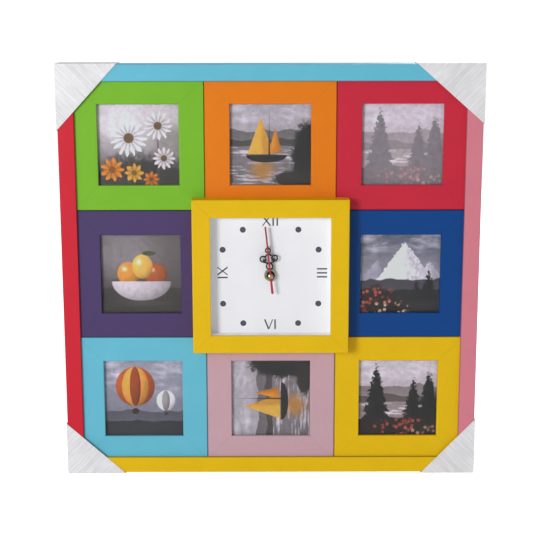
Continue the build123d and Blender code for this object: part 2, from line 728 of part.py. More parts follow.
def battery_contacts():
    """Two spring leaves at the ends of the bay; the left one bulges to the cell's base."""
    leaf = Box(CONTACT_THICK, CONTACT_WIDTH, CONTACT_WIDTH)
    right = Pos(CASE_ROOM - CONTACT_THICK / 2, -BATTERY_DEPTH, BATTERY_Z) * leaf
    left = Pos(-CASE_ROOM + CONTACT_THICK / 2, -BATTERY_DEPTH, BATTERY_Z) * leaf
    bulge = 2 * CASE_ROOM - 2 * CONTACT_THICK - BATTERY_LENGTH - 2 * CONTACT_GAP
    cone = Cone(CONTACT_WIDTH / 2 - CONTACT_THICK, BATTERY_NUB_R, bulge, rotation=(0, 90, 0))
    left += Pos(-CASE_ROOM + CONTACT_THICK + bulge / 2, -BATTERY_DEPTH, BATTERY_Z) * cone
    return [left, right]


# Hands

def ring(radius, width):
    return Circle(radius) - Circle(radius - width)


def blade(widths):
    """A straight outline from (distance, width) pairs along the hand."""
    left = [(-width / 2, at) for at, width in widths]
    right = [(width / 2, at) for at, width in reversed(widths)]
    return make_face(Polyline(*left, *right, close=True))


def hand(outline, bore, back):
    outline = Rot(0, 0, HAND_TILT) * (outline - Circle(bore))
    return slab(outline, back, HAND_SHEET)


def scroll(side):
    """One side scroll of the hour hand: a loop with a ball in it and two arms to the stem."""
    centre_x = side * SCROLL_OUT
    ball_offset = SCROLL_R - SCROLL_WIRE - SCROLL_BALL_R / 2
    ball_x, ball_z = polar((0, 0), ball_offset, 180 + SCROLL_BALL_ANGLE)
    ball = Pos(side * ball_x, ball_z) * Circle(SCROLL_BALL_R)
    loop = Pos(centre_x, SCROLL_AT) * (ring(SCROLL_R, SCROLL_WIRE) + ball)
    low = SCROLL_AT - SCROLL_R
    high = SCROLL_AT + SCROLL_R
    under = ThreePointArc(
        (0, low - SCROLL_WIRE),
        (centre_x / 2, low - SCROLL_WIRE / 2),
        (centre_x, low + SCROLL_WIRE / 2),
    )
    over = ThreePointArc(
        (0, high + SCROLL_WIRE),
        (centre_x / 3, high),
        (centre_x * 2 / 3, SCROLL_AT + SCROLL_R / 2),
    )
    return loop + trace(under, SCROLL_WIRE) + trace(over, SCROLL_WIRE)


def hour_hand():
    """The short hand: a stem with a loop at its base, two scrolls and a ringed spear head."""
    stem_end = HEAD_LOOP_AT - HEAD_LOOP_R + SCROLL_WIRE / 2
    spear = HEAD_LOOP_AT + HEAD_LOOP_R - SCROLL_WIRE / 2
    outline = Circle(HOUR_HUB_R) + blade([(0, HOUR_STEM), (stem_end, HOUR_STEM)])
    outline += Pos(0, BASE_LOOP_AT) * ring(BASE_LOOP_R, SCROLL_WIRE)
    outline += scroll(-1)
    outline += scroll(1)
    outline += Pos(0, HEAD_LOOP_AT) * ring(HEAD_LOOP_R, SCROLL_WIRE)
    outline += blade([(spear, 2 * SCROLL_WIRE), (HOUR_TIP, SCROLL_WIRE / 4)])
    return hand(outline, HOUR_TUBE_R + HAND_FIT, HOUR_HAND_BACK)


def minute_hand():
    outline = blade([(0, MINUTE_ROOT_WIDTH), (MINUTE_TIP, MINUTE_POINT_WIDTH)])
    outline += Circle(MINUTE_HUB_R)
    return hand(outline, MINUTE_TUBE_R + HAND_FIT, MINUTE_HAND_BACK)


def second_hand():
    """The red hand with its flared tail."""
    tail = SECOND_FLARE / 2 - SECOND_TAIL
    outline = Circle(SECOND_HUB_R) + blade([(0, SECOND_WAIST), (SECOND_TIP, SECOND_POINT)])
    outline += blade([(tail, SECOND_FLARE), (0, SECOND_WAIST)])
    outline += Pos(0, tail) * Circle(SECOND_FLARE / 2)
    return hand(outline, SECOND_ARBOR_R + HAND_FIT, SECOND_HAND_BACK)


def second_cap():
    """The domed brass cap on the second hand's hub."""
    dome = CAP_RISE - CAP_RIM
    ball_r = (CAP_R ** 2 + dome ** 2) / (2 * dome)
    seat = SECOND_HAND_BACK + HAND_SHEET
    ball = Pos(0, ball_r - seat - CAP_RISE, 0) * Sphere(ball_r)
    return disc(CAP_R, seat, CAP_RISE) & ball


# The parts list

def in_every_frame(piece):
    return [cell_centre(name) * piece for name in FRAMES]


def assembly():
    nodes = {}
    for side, rail in outer_rails().items():
        nodes["outer_rail_" + side] = [rail]
    for name in FRAMES:
        nodes["frame_" + name] = photo_frame(name)
        nodes["turn_button_" + name] = [cell_centre(name) * turn_button()]
    for name in CORNERS:
        nodes["corner_" + name] = [corner_protector(name)]
    nodes["window_panes"] = in_every_frame(window_pane())
    nodes["photo_prints"] = in_every_frame(photo_print())
    nodes["backing_boards"] = in_every_frame(backing_board())
    nodes["button_screws"] = in_every_frame(pivot_screw())
    nodes["clock_frame"] = clock_frame()
    plate = hanger_plate()
    nodes["hanger_plates"] = [Pos(side * HANGER_SPACING / 2, 0, 0) * plate for side in (-1, 1)]
    nodes["battery_contacts"] = battery_contacts()
    dial = (dial_liner, dial_board, dial_card)
    housing = (movement_case, movement_cover, rubber_washer, fixing_nut)
    motor = (stator, coil, rotor, circuit_board, quartz_crystal, battery)
    going_train = (intermediate_wheel, second_wheel, third_wheel, centre_wheel)
    motion_work = (minute_arbor, motion_wheel, hour_wheel, setting_wheel)
    hands = (hour_hand, minute_hand, second_hand, second_cap)
    singles = dial + housing + motor + going_train + motion_work + hands
    for make in singles:
        nodes[make.__name__] = [make()]
    return nodes


def main():
    os.makedirs("parts", exist_ok=True)
    hung = Pos(0, 0, -HANG_HEIGHT)
    for name, pieces in assembly().items():
        solids = [hung * solid for piece in pieces for solid in piece.solids()]
        export_step(Compound(children=solids), f"parts/{name}.step")


if __name__ == "__main__":
    main()
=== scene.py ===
"""Looks of a wall clock set in a collage of eight photo frames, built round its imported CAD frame."""

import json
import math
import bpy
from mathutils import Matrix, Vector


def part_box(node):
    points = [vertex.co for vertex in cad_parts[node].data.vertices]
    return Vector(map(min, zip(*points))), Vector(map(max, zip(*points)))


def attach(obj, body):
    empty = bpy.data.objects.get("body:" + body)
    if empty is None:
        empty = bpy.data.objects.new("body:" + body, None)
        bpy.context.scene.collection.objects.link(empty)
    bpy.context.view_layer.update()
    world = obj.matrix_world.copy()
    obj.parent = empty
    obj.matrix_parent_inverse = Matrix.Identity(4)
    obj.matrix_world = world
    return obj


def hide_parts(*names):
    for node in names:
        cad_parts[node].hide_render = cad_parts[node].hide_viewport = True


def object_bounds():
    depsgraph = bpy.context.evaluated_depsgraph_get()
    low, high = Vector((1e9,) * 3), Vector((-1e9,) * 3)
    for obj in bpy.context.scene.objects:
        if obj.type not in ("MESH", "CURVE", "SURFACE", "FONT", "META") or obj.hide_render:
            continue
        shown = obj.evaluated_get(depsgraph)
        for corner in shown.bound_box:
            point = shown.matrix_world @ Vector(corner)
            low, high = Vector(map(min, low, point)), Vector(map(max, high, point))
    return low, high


bl_info = {
    "name": "Photo Frame Clock",
    "version": (1, 0, 0),
    "blender": (4, 5, 0),
    "location": "View3D > Sidebar > Frame Clock",
    "description": "Dresses the clock's CAD frame with its dial print, pictures, screws and finishes",
    "category": "Object",
}

import bmesh
import bpy
from bpy.props import FloatProperty, FloatVectorProperty, IntProperty, PointerProperty
from mathutils import Matrix, Vector

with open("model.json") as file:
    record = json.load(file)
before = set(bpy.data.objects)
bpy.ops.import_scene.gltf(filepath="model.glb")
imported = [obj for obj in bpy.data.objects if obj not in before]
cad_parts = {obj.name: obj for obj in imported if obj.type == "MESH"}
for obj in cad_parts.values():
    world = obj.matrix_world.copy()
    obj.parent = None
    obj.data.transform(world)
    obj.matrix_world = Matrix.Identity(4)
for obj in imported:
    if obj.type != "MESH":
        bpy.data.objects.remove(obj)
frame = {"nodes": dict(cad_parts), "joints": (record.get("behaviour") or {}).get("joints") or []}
NODES = frame["nodes"]
CAD_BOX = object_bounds()
MM = 0.001


def middle(node):
    low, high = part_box(node)
    return (low + high) / 2


def tint(code):
    """Linear colour of a six-digit web code."""
    channels = [int(code[i:i + 2], 16) / 255 for i in (0, 2, 4)]
    return tuple(c / 12.92 if c <= 0.04045 else ((c + 0.055) / 1.055) ** 2.4 for c in channels)


# Names of the frames and rails, and places read from the CAD frame
FRAME_COLOURS = ("green", "orange", "crimson", "purple", "blue", "aqua", "rose", "yellow")
RAIL_COLOURS = {"top": "aqua", "left": "red", "right": "pink", "bottom": "yellow"}
AXIS = middle("second_cap")
CENTRES = {colour: middle("frame_" + colour) for colour in FRAME_COLOURS}
CELL = CENTRES["crimson"].x - CENTRES["orange"].x
DIAL_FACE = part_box("dial_card")[0].y
PRINT_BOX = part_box("photo_prints")
PRINT_HALF = (PRINT_BOX[1].x - PRINT_BOX[0].x) / 2 - CELL
FRAME_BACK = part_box("frame_orange")[1].y
FRAME_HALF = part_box("frame_orange")[1].x - CENTRES["orange"].x
RAIL_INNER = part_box("outer_rail_top")[0].z - AXIS.z
HANGER_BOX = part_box("hanger_plates")

# Half the width of a hanger plate, and how deep the foil runs into a window
HANGER_HALF = 11.0 * MM
FOIL_WRAP = 3.1 * MM

# Glue deep in the mitres, and coloured filler just under their faces
GLUE = 0.06 * MM
GLUE_INSET = 3.6 * MM
GLUE_EDGE = 0.3 * MM
FILLER = 0.1 * MM
FILLER_SINK = 0.1 * MM
FILLER_DEPTH = 1.2 * MM
FILLER_EDGE = 0.9 * MM
CORNERS = ((1, 1), (1, -1), (-1, 1), (-1, -1))

# Fineness of the meshes
LATHE_STEPS = 64
SCREW_SIDES = 28
DOT_SIDES = 40
DOME_STEPS = 12
SHEET_STEPS = 12
SMOOTH_ANGLE = math.radians(35)

# Radians per metre: rings from the lathe, and wires on the coil
LATHE_RINGS = 42000.0
COIL_WIRES = 24000.0

# The stage
FLOOR_HALF = 40.0
SENSOR_WIDTH = 36.0
FAR_CLIP = 200.0


# Settings

def colour_setting(label, code):
    return FloatVectorProperty(
        name=label, description=f"{label} foil", subtype="COLOR", size=3, min=0, max=1, default=tint(code)
    )


def length_setting(label, about, millimetres):
    return FloatProperty(
        name=label, description=about, subtype="DISTANCE", unit="LENGTH", precision=5, default=millimetres * MM
    )


class FoilColours(bpy.types.PropertyGroup):
    """Colours of the foil on the mouldings."""

    green: colour_setting("Green", "78B82A")
    orange: colour_setting("Orange", "E67C0F")
    crimson: colour_setting("Crimson", "C8283E")
    purple: colour_setting("Purple", "4B3B69")
    blue: colour_setting("Blue", "024288")
    aqua: colour_setting("Aqua", "66BCD4")
    rose: colour_setting("Rose", "C8A2AD")
    yellow: colour_setting("Yellow", "E6BB00")
    red: colour_setting("Red", "CE1E32")
    pink: colour_setting("Pink", "D8808E")


class DialSizes(bpy.types.PropertyGroup):
    """Sizes of what is printed on the dial."""

    upright_reach: length_setting(
        "Upright Reach", "From the print's middle to the ends of the upright numerals", 58.0
    )
    side_reach: length_setting("Side Reach", "From the print's middle to the ends of the side numerals", 54.8)
    numeral_height: length_setting("Numeral Height", "Height of the numerals", 10.2)
    print_rise: length_setting("Print Rise", "How far the numerals' middle lies above the hands' axis", 2.0)
    side_shift: length_setting("Side Shift", "How far the side numerals' middle lies right of the hands' axis", 1.6)
    thick_stroke: length_setting("Thick Stroke", "Width of the thick strokes", 1.5)
    thin_stroke: length_setting("Thin Stroke", "Width of the thin strokes", 1.0)
    dot_radius: length_setting("Dot Radius", "Radius of an hour dot", 3.0)
    dot_circle: length_setting("Dot Circle", "Radius of the circle that the dots lie on", 55.2)
    dot_drop: length_setting("Dot Drop", "How far the dots' circle lies below the hands' axis", 1.9)
    ink: length_setting("Ink", "Thickness of the printed ink", 0.03)


class PictureSizes(bpy.types.PropertyGroup):
    """Sizes of the prints."""

    view: length_setting("View", "Half the side of the part of a print that its frame shows", 40.0)
    bow: length_setting("Bow", "How far a print's middle stands behind its edges", 0.1)


class ScrewSizes(bpy.types.PropertyGroup):
    """Sizes and places of the screws on the back."""

    head_radius: length_setting("Head Radius", "Radius of a pan head", 2.8)
    head_rise: length_setting("Head Rise", "Height of a pan head", 1.6)
    sunk_radius: length_setting("Sunk Radius", "Radius of a countersunk head", 2.5)
    sunk_foot: length_setting("Sunk Foot", "Radius where a countersunk head meets its shank", 1.4)
    sunk_rise: length_setting("Sunk Rise", "Height of a countersunk head", 0.92)
    slot_width: length_setting("Slot Width", "Width of the driver slot", 0.8)
    slot_depth: length_setting("Slot Depth", "Depth of the driver slot", 0.6)
    clock_spread: length_setting("Clock Spread", "Between the two screws on one side of the clock frame", 64.0)
    hanger_spread: length_setting("Hanger Spread", "Between the two screws of a hanger plate", 13.0)
    hanger_drop: length_setting("Hanger Drop", "From the top of the moulding to the hanger screws", 6.65)
    seed: IntProperty(name="Seed", description="Turns the driver slots", default=7)


class StageSettings(bpy.types.PropertyGroup):
    """Floor, light and camera."""

    floor_colour: FloatVectorProperty(
        name="Floor", description="Colour of the floor", subtype="COLOR", size=3, default=(0.95, 0.95, 0.95)
    )
    floor_drop: length_setting("Floor Drop", "How far the floor lies under the clock", 60.0)
    key_power: FloatProperty(name="Key", description="Power of the key light", unit="POWER", default=32.0)
    back_power: FloatProperty(name="Back", description="Power of the lights behind", unit="POWER", default=22.0)
    sky: FloatProperty(name="Sky", description="Strength of the light from all round", default=0.37)
    lens: FloatProperty(name="Lens", description="Focal length", unit="CAMERA", default=87.44)
    camera_place: FloatVectorProperty(
        name="Camera", description="Place of the camera", subtype="TRANSLATION", size=3,
        default=(-0.00413, -1.29657, 0.08838),
    )
    camera_pitch: FloatProperty(
        name="Pitch", description="How far the camera looks down", subtype="ANGLE", default=math.radians(11.725)
    )
    camera_roll: FloatProperty(
        name="Roll", description="Turn about the line of sight", subtype="ANGLE", default=-0.002
    )


class ClockSettings(bpy.types.PropertyGroup):
    """All settings of the photo frame clock."""

    foils: PointerProperty(type=FoilColours)
    dial: PointerProperty(type=DialSizes)
    pictures: PointerProperty(type=PictureSizes)
    screws: PointerProperty(type=ScrewSizes)
    stage: PointerProperty(type=StageSettings)


def settings():
    return bpy.context.scene.frame_clock


# Node trees

def socket_name(name):
    """The name that Blender gives a socket, from one in small letters."""
    return name.replace("_", " ").title().replace("Ior", "IOR")


class Tree:
    """Adds and joins nodes in one node tree; an input takes a plain value or another node's socket."""

    def __init__(self, tree):
        self.tree = tree

    def put(self, socket, value):
        if isinstance(value, bpy.types.NodeSocket):
            self.tree.links.new(value, socket)
        elif socket.type == "RGBA" and len(value) == 3:
            socket.default_value = (*value, 1)
        else:
            socket.default_value = value

    def add(self, kind, inputs=None, **attributes):
        node = self.tree.nodes.new(kind)
        for name, value in attributes.items():
            setattr(node, name, value)
        for name, value in (inputs or {}).items():
            self.put(node.inputs[name], value)
        return node

    def math(self, operation, first, second=0.0, third=0.0):
        inputs = {0: first, 1: second, 2: third}
        return self.add("ShaderNodeMath", inputs, operation=operation).outputs[0]

    def plus(self, first, second):
        return self.math("ADD", first, second)

    def minus(self, first, second):
        return self.math("SUBTRACT", first, second)

    def times(self, first, second):
        return self.math("MULTIPLY", first, second)

    def most(self, first, second):
        return self.math("MAXIMUM", first, second)

    def size(self, value):
        return self.math("ABSOLUTE", value)

    def linear(self, value, slope, start):
        """The value times a slope, plus a start."""
        return self.math("MULTIPLY_ADD", value, slope, start)

    def squares(self, first, second):
        """The sum of two squares."""
        return self.plus(self.times(first, first), self.times(second, second))

    def step(self, value, low, high, start=0.0, end=1.0):
        """Smoothly from start, where value is low, to end, where it is high."""
        inputs = {"Value": value, "From Min": low, "From Max": high, "To Min": start, "To Max": end}
        return self.add("ShaderNodeMapRange", inputs, interpolation_type="SMOOTHSTEP").outputs["Result"]

    def mix(self, factor, first, second):
        inputs = {0: factor, 6: first, 7: second}
        return self.add("ShaderNodeMix", inputs, data_type="RGBA").outputs[2]

    def shade(self, colour, *tones):
        """The colour times grey tones."""
        for tone in tones:
            colour = self.add("ShaderNodeVectorMath", {0: colour, 1: tone}, operation="MULTIPLY").outputs["Vector"]
        return colour

    def noise(self, place, scale, detail=2.0, roughness=0.5):
        inputs = {"Vector": place, "Scale": scale, "Detail": detail, "Roughness": roughness}
        return self.add("ShaderNodeTexNoise", inputs).outputs["Fac"]

    def stretch(self, place, scale):
        inputs = {"Vector": place, "Scale": scale}
        return self.add("ShaderNodeMapping", inputs).outputs["Vector"]

    def split(self, vector):
        return self.add("ShaderNodeSeparateXYZ", {"Vector": vector}).outputs

    def place(self):
        return self.add("ShaderNodeTexCoord").outputs["Object"]

    def normal(self):
        return self.add("ShaderNodeNewGeometry").outputs["Normal"]

    def rear(self):
        """One on faces that look backwards, nought on others."""
        return self.step(self.split(self.normal())[1], 0.4, 0.6)

    def bump(self, height, depth, strength):
        inputs = {"Height": height, "Distance": depth, "Strength": strength}
        return self.add("ShaderNodeBump", inputs).outputs["Normal"]

    def use(self, tree, **inputs):
        """Places a node group; its inputs are named in small letters here. Returns its outputs."""
        node = self.add("ShaderNodeGroup", node_tree=tree)
        for name, value in inputs.items():
            self.put(node.inputs[socket_name(name)], value)
        return node.outputs

    def shader(self):
        return self.tree.nodes["Principled BSDF"]

    def surface(self, **inputs):
        """Sets the material's shader; its sockets are named in small letters here."""
        for name, value in inputs.items():
            self.put(self.shader().inputs[socket_name(name)], value)


def node_group(*outputs, **inputs):
    """Turns the function under it into a shader node group, which is built once.

    The group takes a vector and the named inputs. The function returns the sockets to put out.
    """
    def wrap(draw):
        def built():
            if draw.__name__ in bpy.data.node_groups:
                return bpy.data.node_groups[draw.__name__]
            tree = bpy.data.node_groups.new(draw.__name__, "ShaderNodeTree")
            tree.interface.new_socket("Vector", in_out="INPUT", socket_type="NodeSocketVector")
            for name, value in inputs.items():
                coloured = isinstance(value, tuple)
                kind = "NodeSocketColor" if coloured else "NodeSocketFloat"
                socket = tree.interface.new_socket(socket_name(name), in_out="INPUT", socket_type=kind)
                socket.default_value = (*value, 1) if coloured else value
            for label in outputs:
                kind = "NodeSocketColor" if label == "Color" else "NodeSocketFloat"
                tree.interface.new_socket(label, in_out="OUTPUT", socket_type=kind)
            entry = tree.nodes.new("NodeGroupInput").outputs
            leave = tree.nodes.new("NodeGroupOutput").inputs
            for label, socket in draw(Tree(tree), entry).items():
                tree.links.new(socket, leave[label])
            return tree
        return built
    return wrap


@node_group("Tone", "Speck", scale=60.0, contrast=0.2)
def mottle(tree, given):
    """Slow and fine changes of tone over a surface: a factor near one, and fine specks for a bump."""
    slow = tree.noise(given["Vector"], given["Scale"], 3.0)
    fine_scale = tree.times(given["Scale"], 11.0)
    fine = tree.noise(given["Vector"], fine_scale, 2.0, 0.6)
    sum_of_both = tree.linear(fine, 0.5, slow)
    centred = tree.minus(sum_of_both, 0.75)
    return {"Tone": tree.linear(centred, given["Contrast"], 1.0), "Speck": fine}


@node_group("Mask")
def scratches(tree, given):
    """Fine straight scratches in two directions, as a mask."""
    fine = []
    for scale in ((40.0, 900.0, 900.0), (900.0, 900.0, 60.0)):
        line = tree.noise(tree.stretch(given["Vector"], scale), 1.0, 1.0)
        fine.append(tree.step(line, 0.64, 0.72))
    return {"Mask": tree.most(fine[0], fine[1])}


@node_group("Grain", "Mitre", "Rim", centre_x=0.0, centre_z=0.0, edge=0.065)
def rail_grain(tree, given):
    """Fine grain along each of four mitred rails round a centre, and the masks of their mitres and of the rim, where
    the foil gets painted shade.
    """
    x, _, z = tree.split(given["Vector"])
    across = tree.minus(x, given["Centre X"])
    along = tree.minus(z, given["Centre Z"])
    wide = tree.size(across)
    tall = tree.size(along)
    level = tree.math("GREATER_THAN", tall, wide)
    fibres = []
    for scale in ((60.0, 1500.0, 1500.0), (1500.0, 1500.0, 60.0)):
        fibres.append(tree.noise(tree.stretch(given["Vector"], scale), 1.0, 3.0))
    flip = tree.minus(1.0, level)
    upright = tree.times(fibres[1], flip)
    grain = tree.linear(fibres[0], level, upright)
    apart = tree.size(tree.minus(wide, tall))
    reach = tree.size(tree.minus(tree.most(wide, tall), given["Edge"]))
    return {
        "Grain": grain,
        "Mitre": tree.step(apart, 0.15 * MM, 0.75 * MM, 1.0, 0.0),
        # Mask of the rim, which the foil darkens as painted shade
        "Rim": tree.step(reach, 0.2 * MM, 0.9 * MM, 1.0, 0.0),
    }


@node_group("Color", "Height", dark=tint("B08B63"), light=tint("BD9A72"), fleck=tint("D3B48E"))
def pressed_fibre(tree, given):
    """Colour and height of raw pressed board."""
    fibre = tree.noise(tree.stretch(given["Vector"], (1.0, 1.0, 0.35)), 900.0, 4.0, 0.65)
    cloud = tree.noise(given["Vector"], 14.0, 5.0, 0.6)
    dark = tree.mix(tree.step(cloud, 0.35, 0.65), given["Dark"], given["Light"])
    fleck = tree.step(fibre, 0.58, 0.72)
    return {"Color": tree.mix(fleck, dark, given["Fleck"]), "Height": fibre}


# Finishes

def new_finish(name):
    """A new material with its node helper."""
    made = bpy.data.materials.new(name)
    made.use_nodes = True
    return made, Tree(made.node_tree)


def dress(finish, *nodes):
    """Gives CAD nodes their finish."""
    for node in nodes:
        for slot in NODES[node].material_slots:
            slot.material = finish


def foil(node, colour, centre, edge):
    """Satin colour foil wrapped round fibreboard, which stays bare on the back and inside behind the lip."""
    made, tree = new_finish("foil_" + node)
    place = tree.place()
    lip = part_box(node)[0].y + FOIL_WRAP
    grain, mitre, rim = tree.use(rail_grain(), vector=place, centre_x=centre.x, centre_z=centre.z, edge=edge)
    tone, speck = tree.use(mottle(), vector=place, scale=35.0, contrast=0.10)
    board, fibre = tree.use(pressed_fibre(), vector=place)
    x, y, z = tree.split(place)
    facing_x, _, facing_z = tree.split(tree.normal())
    sideways = tree.times(facing_x, tree.minus(x, centre.x))
    outwards = tree.linear(facing_z, tree.minus(z, centre.z), sideways)
    inside = tree.times(tree.math("LESS_THAN", outwards, -0.01), tree.math("GREATER_THAN", y, lip))
    bare = tree.most(tree.rear(), inside)
    streak = tree.linear(grain, 0.08, 0.96)
    # Dark joint lines at the mitres, and painted shade that darkens the rim at the edge
    joint_line_and_rim_shade = tree.linear(mitre, -0.06, tree.linear(rim, -0.45, 1.0))
    skin = tree.shade(colour, tone, streak, joint_line_and_rim_shade)
    tree.surface(base_color=tree.mix(bare, skin, board))
    satin = tree.linear(grain, 0.16, 0.34)
    tree.surface(
        roughness=tree.step(bare, 0.0, 1.0, satin, 0.9),
        coat_weight=tree.linear(bare, -0.05, 0.05),
        coat_roughness=0.18,
        specular_ior_level=0.2,
    )
    relief = tree.linear(speck, 0.6, grain)
    relief = tree.linear(tree.times(fibre, bare), 6.0, relief)
    tree.surface(normal=tree.bump(relief, 0.06 * MM, 0.5))
    return made


def paper(name, code, rough, streaks):
    """Matt white card with faint fibres, a little unevenness and painted shade along faint creases."""
    made, tree = new_finish(name)
    place = tree.place()
    tone, speck = tree.use(mottle(), vector=place, scale=55.0, contrast=0.05)
    crease = tree.noise(tree.stretch(place, (38.0, 38.0, 9.0)), 1.0, 4.0, 0.6)
    # Painted shade in the creases, as deep as streaks gives
    shadow = tree.step(crease, 0.3, 0.75, 1.0 - streaks, 1.0)
    tree.surface(
        base_color=tree.shade(tint(code), tone, shadow),
        roughness=tree.linear(speck, 0.2, rough),
    )
    relief = tree.linear(crease, 14.0 * streaks, speck)
    tree.surface(normal=tree.bump(relief, 0.12 * MM, 0.4))
    return made


def creased_card():
    """Thin white card stretched tight over a corner: streaks towards the corner and dents, with painted shade and
    highlights along them, and a soft sheen.
    """
    made, tree = new_finish("creased_card")
    place = tree.place()
    tone, speck = tree.use(mottle(), vector=place, scale=70.0, contrast=0.06)
    x, y, z = tree.split(place)
    wide = tree.size(tree.minus(x, AXIS.x))
    tall = tree.size(tree.minus(z, AXIS.z))
    along = tree.times(tree.plus(wide, tall), 24.0)
    fan = tree.times(tree.minus(wide, tall), 330.0)
    run = tree.add("ShaderNodeCombineXYZ", {"X": along, "Y": fan, "Z": tree.times(y, 60.0)})
    streak = tree.noise(run.outputs["Vector"], 1.0, 3.0, 0.6)
    dents = tree.noise(place, 42.0, 3.0, 0.55)
    # Painted shade and highlights along the streaks and over the dents
    streak_shade_and_highlight = tree.step(streak, 0.32, 0.68, 0.88, 1.05)
    dent_shade_and_highlight = tree.step(dents, 0.3, 0.7, 0.93, 1.02)
    tree.surface(
        base_color=tree.shade(tint("EBEAED"), tone, streak_shade_and_highlight, dent_shade_and_highlight),
        roughness=tree.linear(speck, 0.2, 0.3),
    )
    relief = tree.linear(dents, 2.0, streak)
    tree.surface(normal=tree.bump(relief, 0.6 * MM, 0.6))
    return made


def paint(name, code, rough):
    """Satin paint on thin sheet metal, with a faint orange peel and dust."""
    made, tree = new_finish(name)
    place = tree.place()
    tone, speck = tree.use(mottle(), vector=place, scale=300.0, contrast=0.25)
    tree.surface(
        base_color=tree.shade(tint(code), tone),
        roughness=tree.linear(speck, 0.2, rough),
        normal=tree.bump(speck, 0.03 * MM, 0.4),
    )
    return made


def metal(name, code, stain, rough):
    """Plated or bare metal with scratches and patches of a second tone."""
    made, tree = new_finish(name)
    place = tree.place()
    tone, speck = tree.use(mottle(), vector=place, scale=130.0, contrast=0.3)
    worn = tree.use(scratches(), vector=place)["Mask"]
    patch = tree.step(tree.noise(place, 90.0, 3.0), 0.45, 0.7)
    tree.surface(
        base_color=tree.shade(tree.mix(patch, tint(code), tint(stain)), tone),
        metallic=1.0,
    )
    dulled = tree.linear(patch, 0.12, rough)
    tree.surface(roughness=tree.linear(worn, 0.15, dulled))
    relief = tree.linear(worn, -0.5, speck)
    tree.surface(normal=tree.bump(relief, 0.02 * MM, 0.4))
    return made


def turned_brass(name, bright, dull):
    """Brass with fine rings from the lathe round the hands' axis."""
    made, tree = new_finish(name)
    place = tree.place()
    x, _, z = tree.split(place)
    up = tree.minus(z, AXIS.z)
    out = tree.math("SQRT", tree.squares(x, up))
    rings = tree.math("SINE", tree.times(out, LATHE_RINGS))
    tone, speck = tree.use(mottle(), vector=place, scale=240.0, contrast=0.5)
    aged = tree.step(tree.noise(place, 420.0, 3.0), 0.4, 0.75)
    tree.surface(
        base_color=tree.shade(tree.mix(aged, tint(bright), tint(dull)), tone),
        metallic=1.0,
        roughness=tree.linear(aged, 0.2, 0.2),
    )
    relief = tree.linear(rings, 0.3, speck)
    tree.surface(normal=tree.bump(relief, 0.01 * MM, 0.5))
    return made


def plastic(name, code, rough, texture):
    """Moulded plastic with its spark-eroded texture."""
    made, tree = new_finish(name)
    place = tree.place()
    tone, speck = tree.use(mottle(), vector=place, scale=texture / 11.0, contrast=0.18)
    tree.surface(
        base_color=tree.shade(tint(code), tone),
        roughness=tree.linear(speck, 0.25, rough),
        normal=tree.bump(speck, 0.06 * MM, 0.45),
    )
    return made


def clear_sheet():
    """Clear styrene; it lets the lamp's light through to the print."""
    made, tree = new_finish("clear_sheet")
    place = tree.place()
    worn = tree.use(scratches(), vector=place)["Mask"]
    ripple = tree.noise(place, 70.0, 1.0)
    tree.surface(
        base_color=tint("F7FAFA"),
        transmission_weight=1.0,
        ior=1.2,
        roughness=tree.linear(worn, 0.03, 0.02),
        normal=tree.bump(ripple, 0.08 * MM, 0.25),
    )
    through = tree.add("ShaderNodeBsdfTransparent", {"Color": tint("F4F6F6")})
    ray = tree.add("ShaderNodeLightPath")
    lit = tree.most(ray.outputs["Is Shadow Ray"], ray.outputs["Is Diffuse Ray"])
    both = tree.add("ShaderNodeMixShader", {0: lit})
    tree.put(both.inputs[1], tree.shader().outputs["BSDF"])
    tree.put(both.inputs[2], through.outputs["BSDF"])
    tree.put(made.node_tree.nodes["Material Output"].inputs["Surface"], both.outputs["Shader"])
    return made


def hardboard():
    """Raw pressed board of the backs."""
    made, tree = new_finish("hardboard")
    dark, light, fleck = tint("77522F"), tint("865F3A"), tint("A67E55")
    colour, fibre = tree.use(pressed_fibre(), vector=tree.place(), dark=dark, light=light, fleck=fleck)
    tree.surface(
        base_color=colour,
        roughness=tree.linear(fibre, 0.2, 0.72),
        normal=tree.bump(fibre, 0.4 * MM, 0.5),
    )
    return made


def copper_winding():
    """Enamelled wire laid side by side along the bobbin, with painted shade between the wires and painted highlights
    on their crests.
    """
    made, tree = new_finish("copper_winding")
    x = tree.split(tree.place())[0]
    wire = tree.math("SINE", tree.times(x, COIL_WIRES))
    wire_relief_and_shade = tree.step(wire, -1.0, 1.0)
    tree.surface(
        # Painted shade between the wires and painted highlights on their crests: dark and light copper follow each
        # wire's roundness
        base_color=tree.mix(wire_relief_and_shade, tint("6E3014"), tint("C8703A")),
        metallic=0.85,
        roughness=0.32,
        normal=tree.bump(wire_relief_and_shade, 0.1 * MM, 0.8),
    )
    return made


def circuit_lacquer():
    """Green lacquer over copper tracks."""
    made, tree = new_finish("circuit_lacquer")
    place = tree.place()
    inputs = {"Vector": place, "Scale": 420.0}
    tracks = tree.add("ShaderNodeTexVoronoi", inputs, distance="CHEBYCHEV", feature="DISTANCE_TO_EDGE")
    line = tree.step(tracks.outputs["Distance"], 0.06, 0.1, 1.0, 0.0)
    tree.surface(
        base_color=tree.mix(line, tint("12452C"), tint("2C7A4C")),
        roughness=tree.linear(line, -0.08, 0.32),
        normal=tree.bump(line, 0.04 * MM, 0.5),
    )
    return made


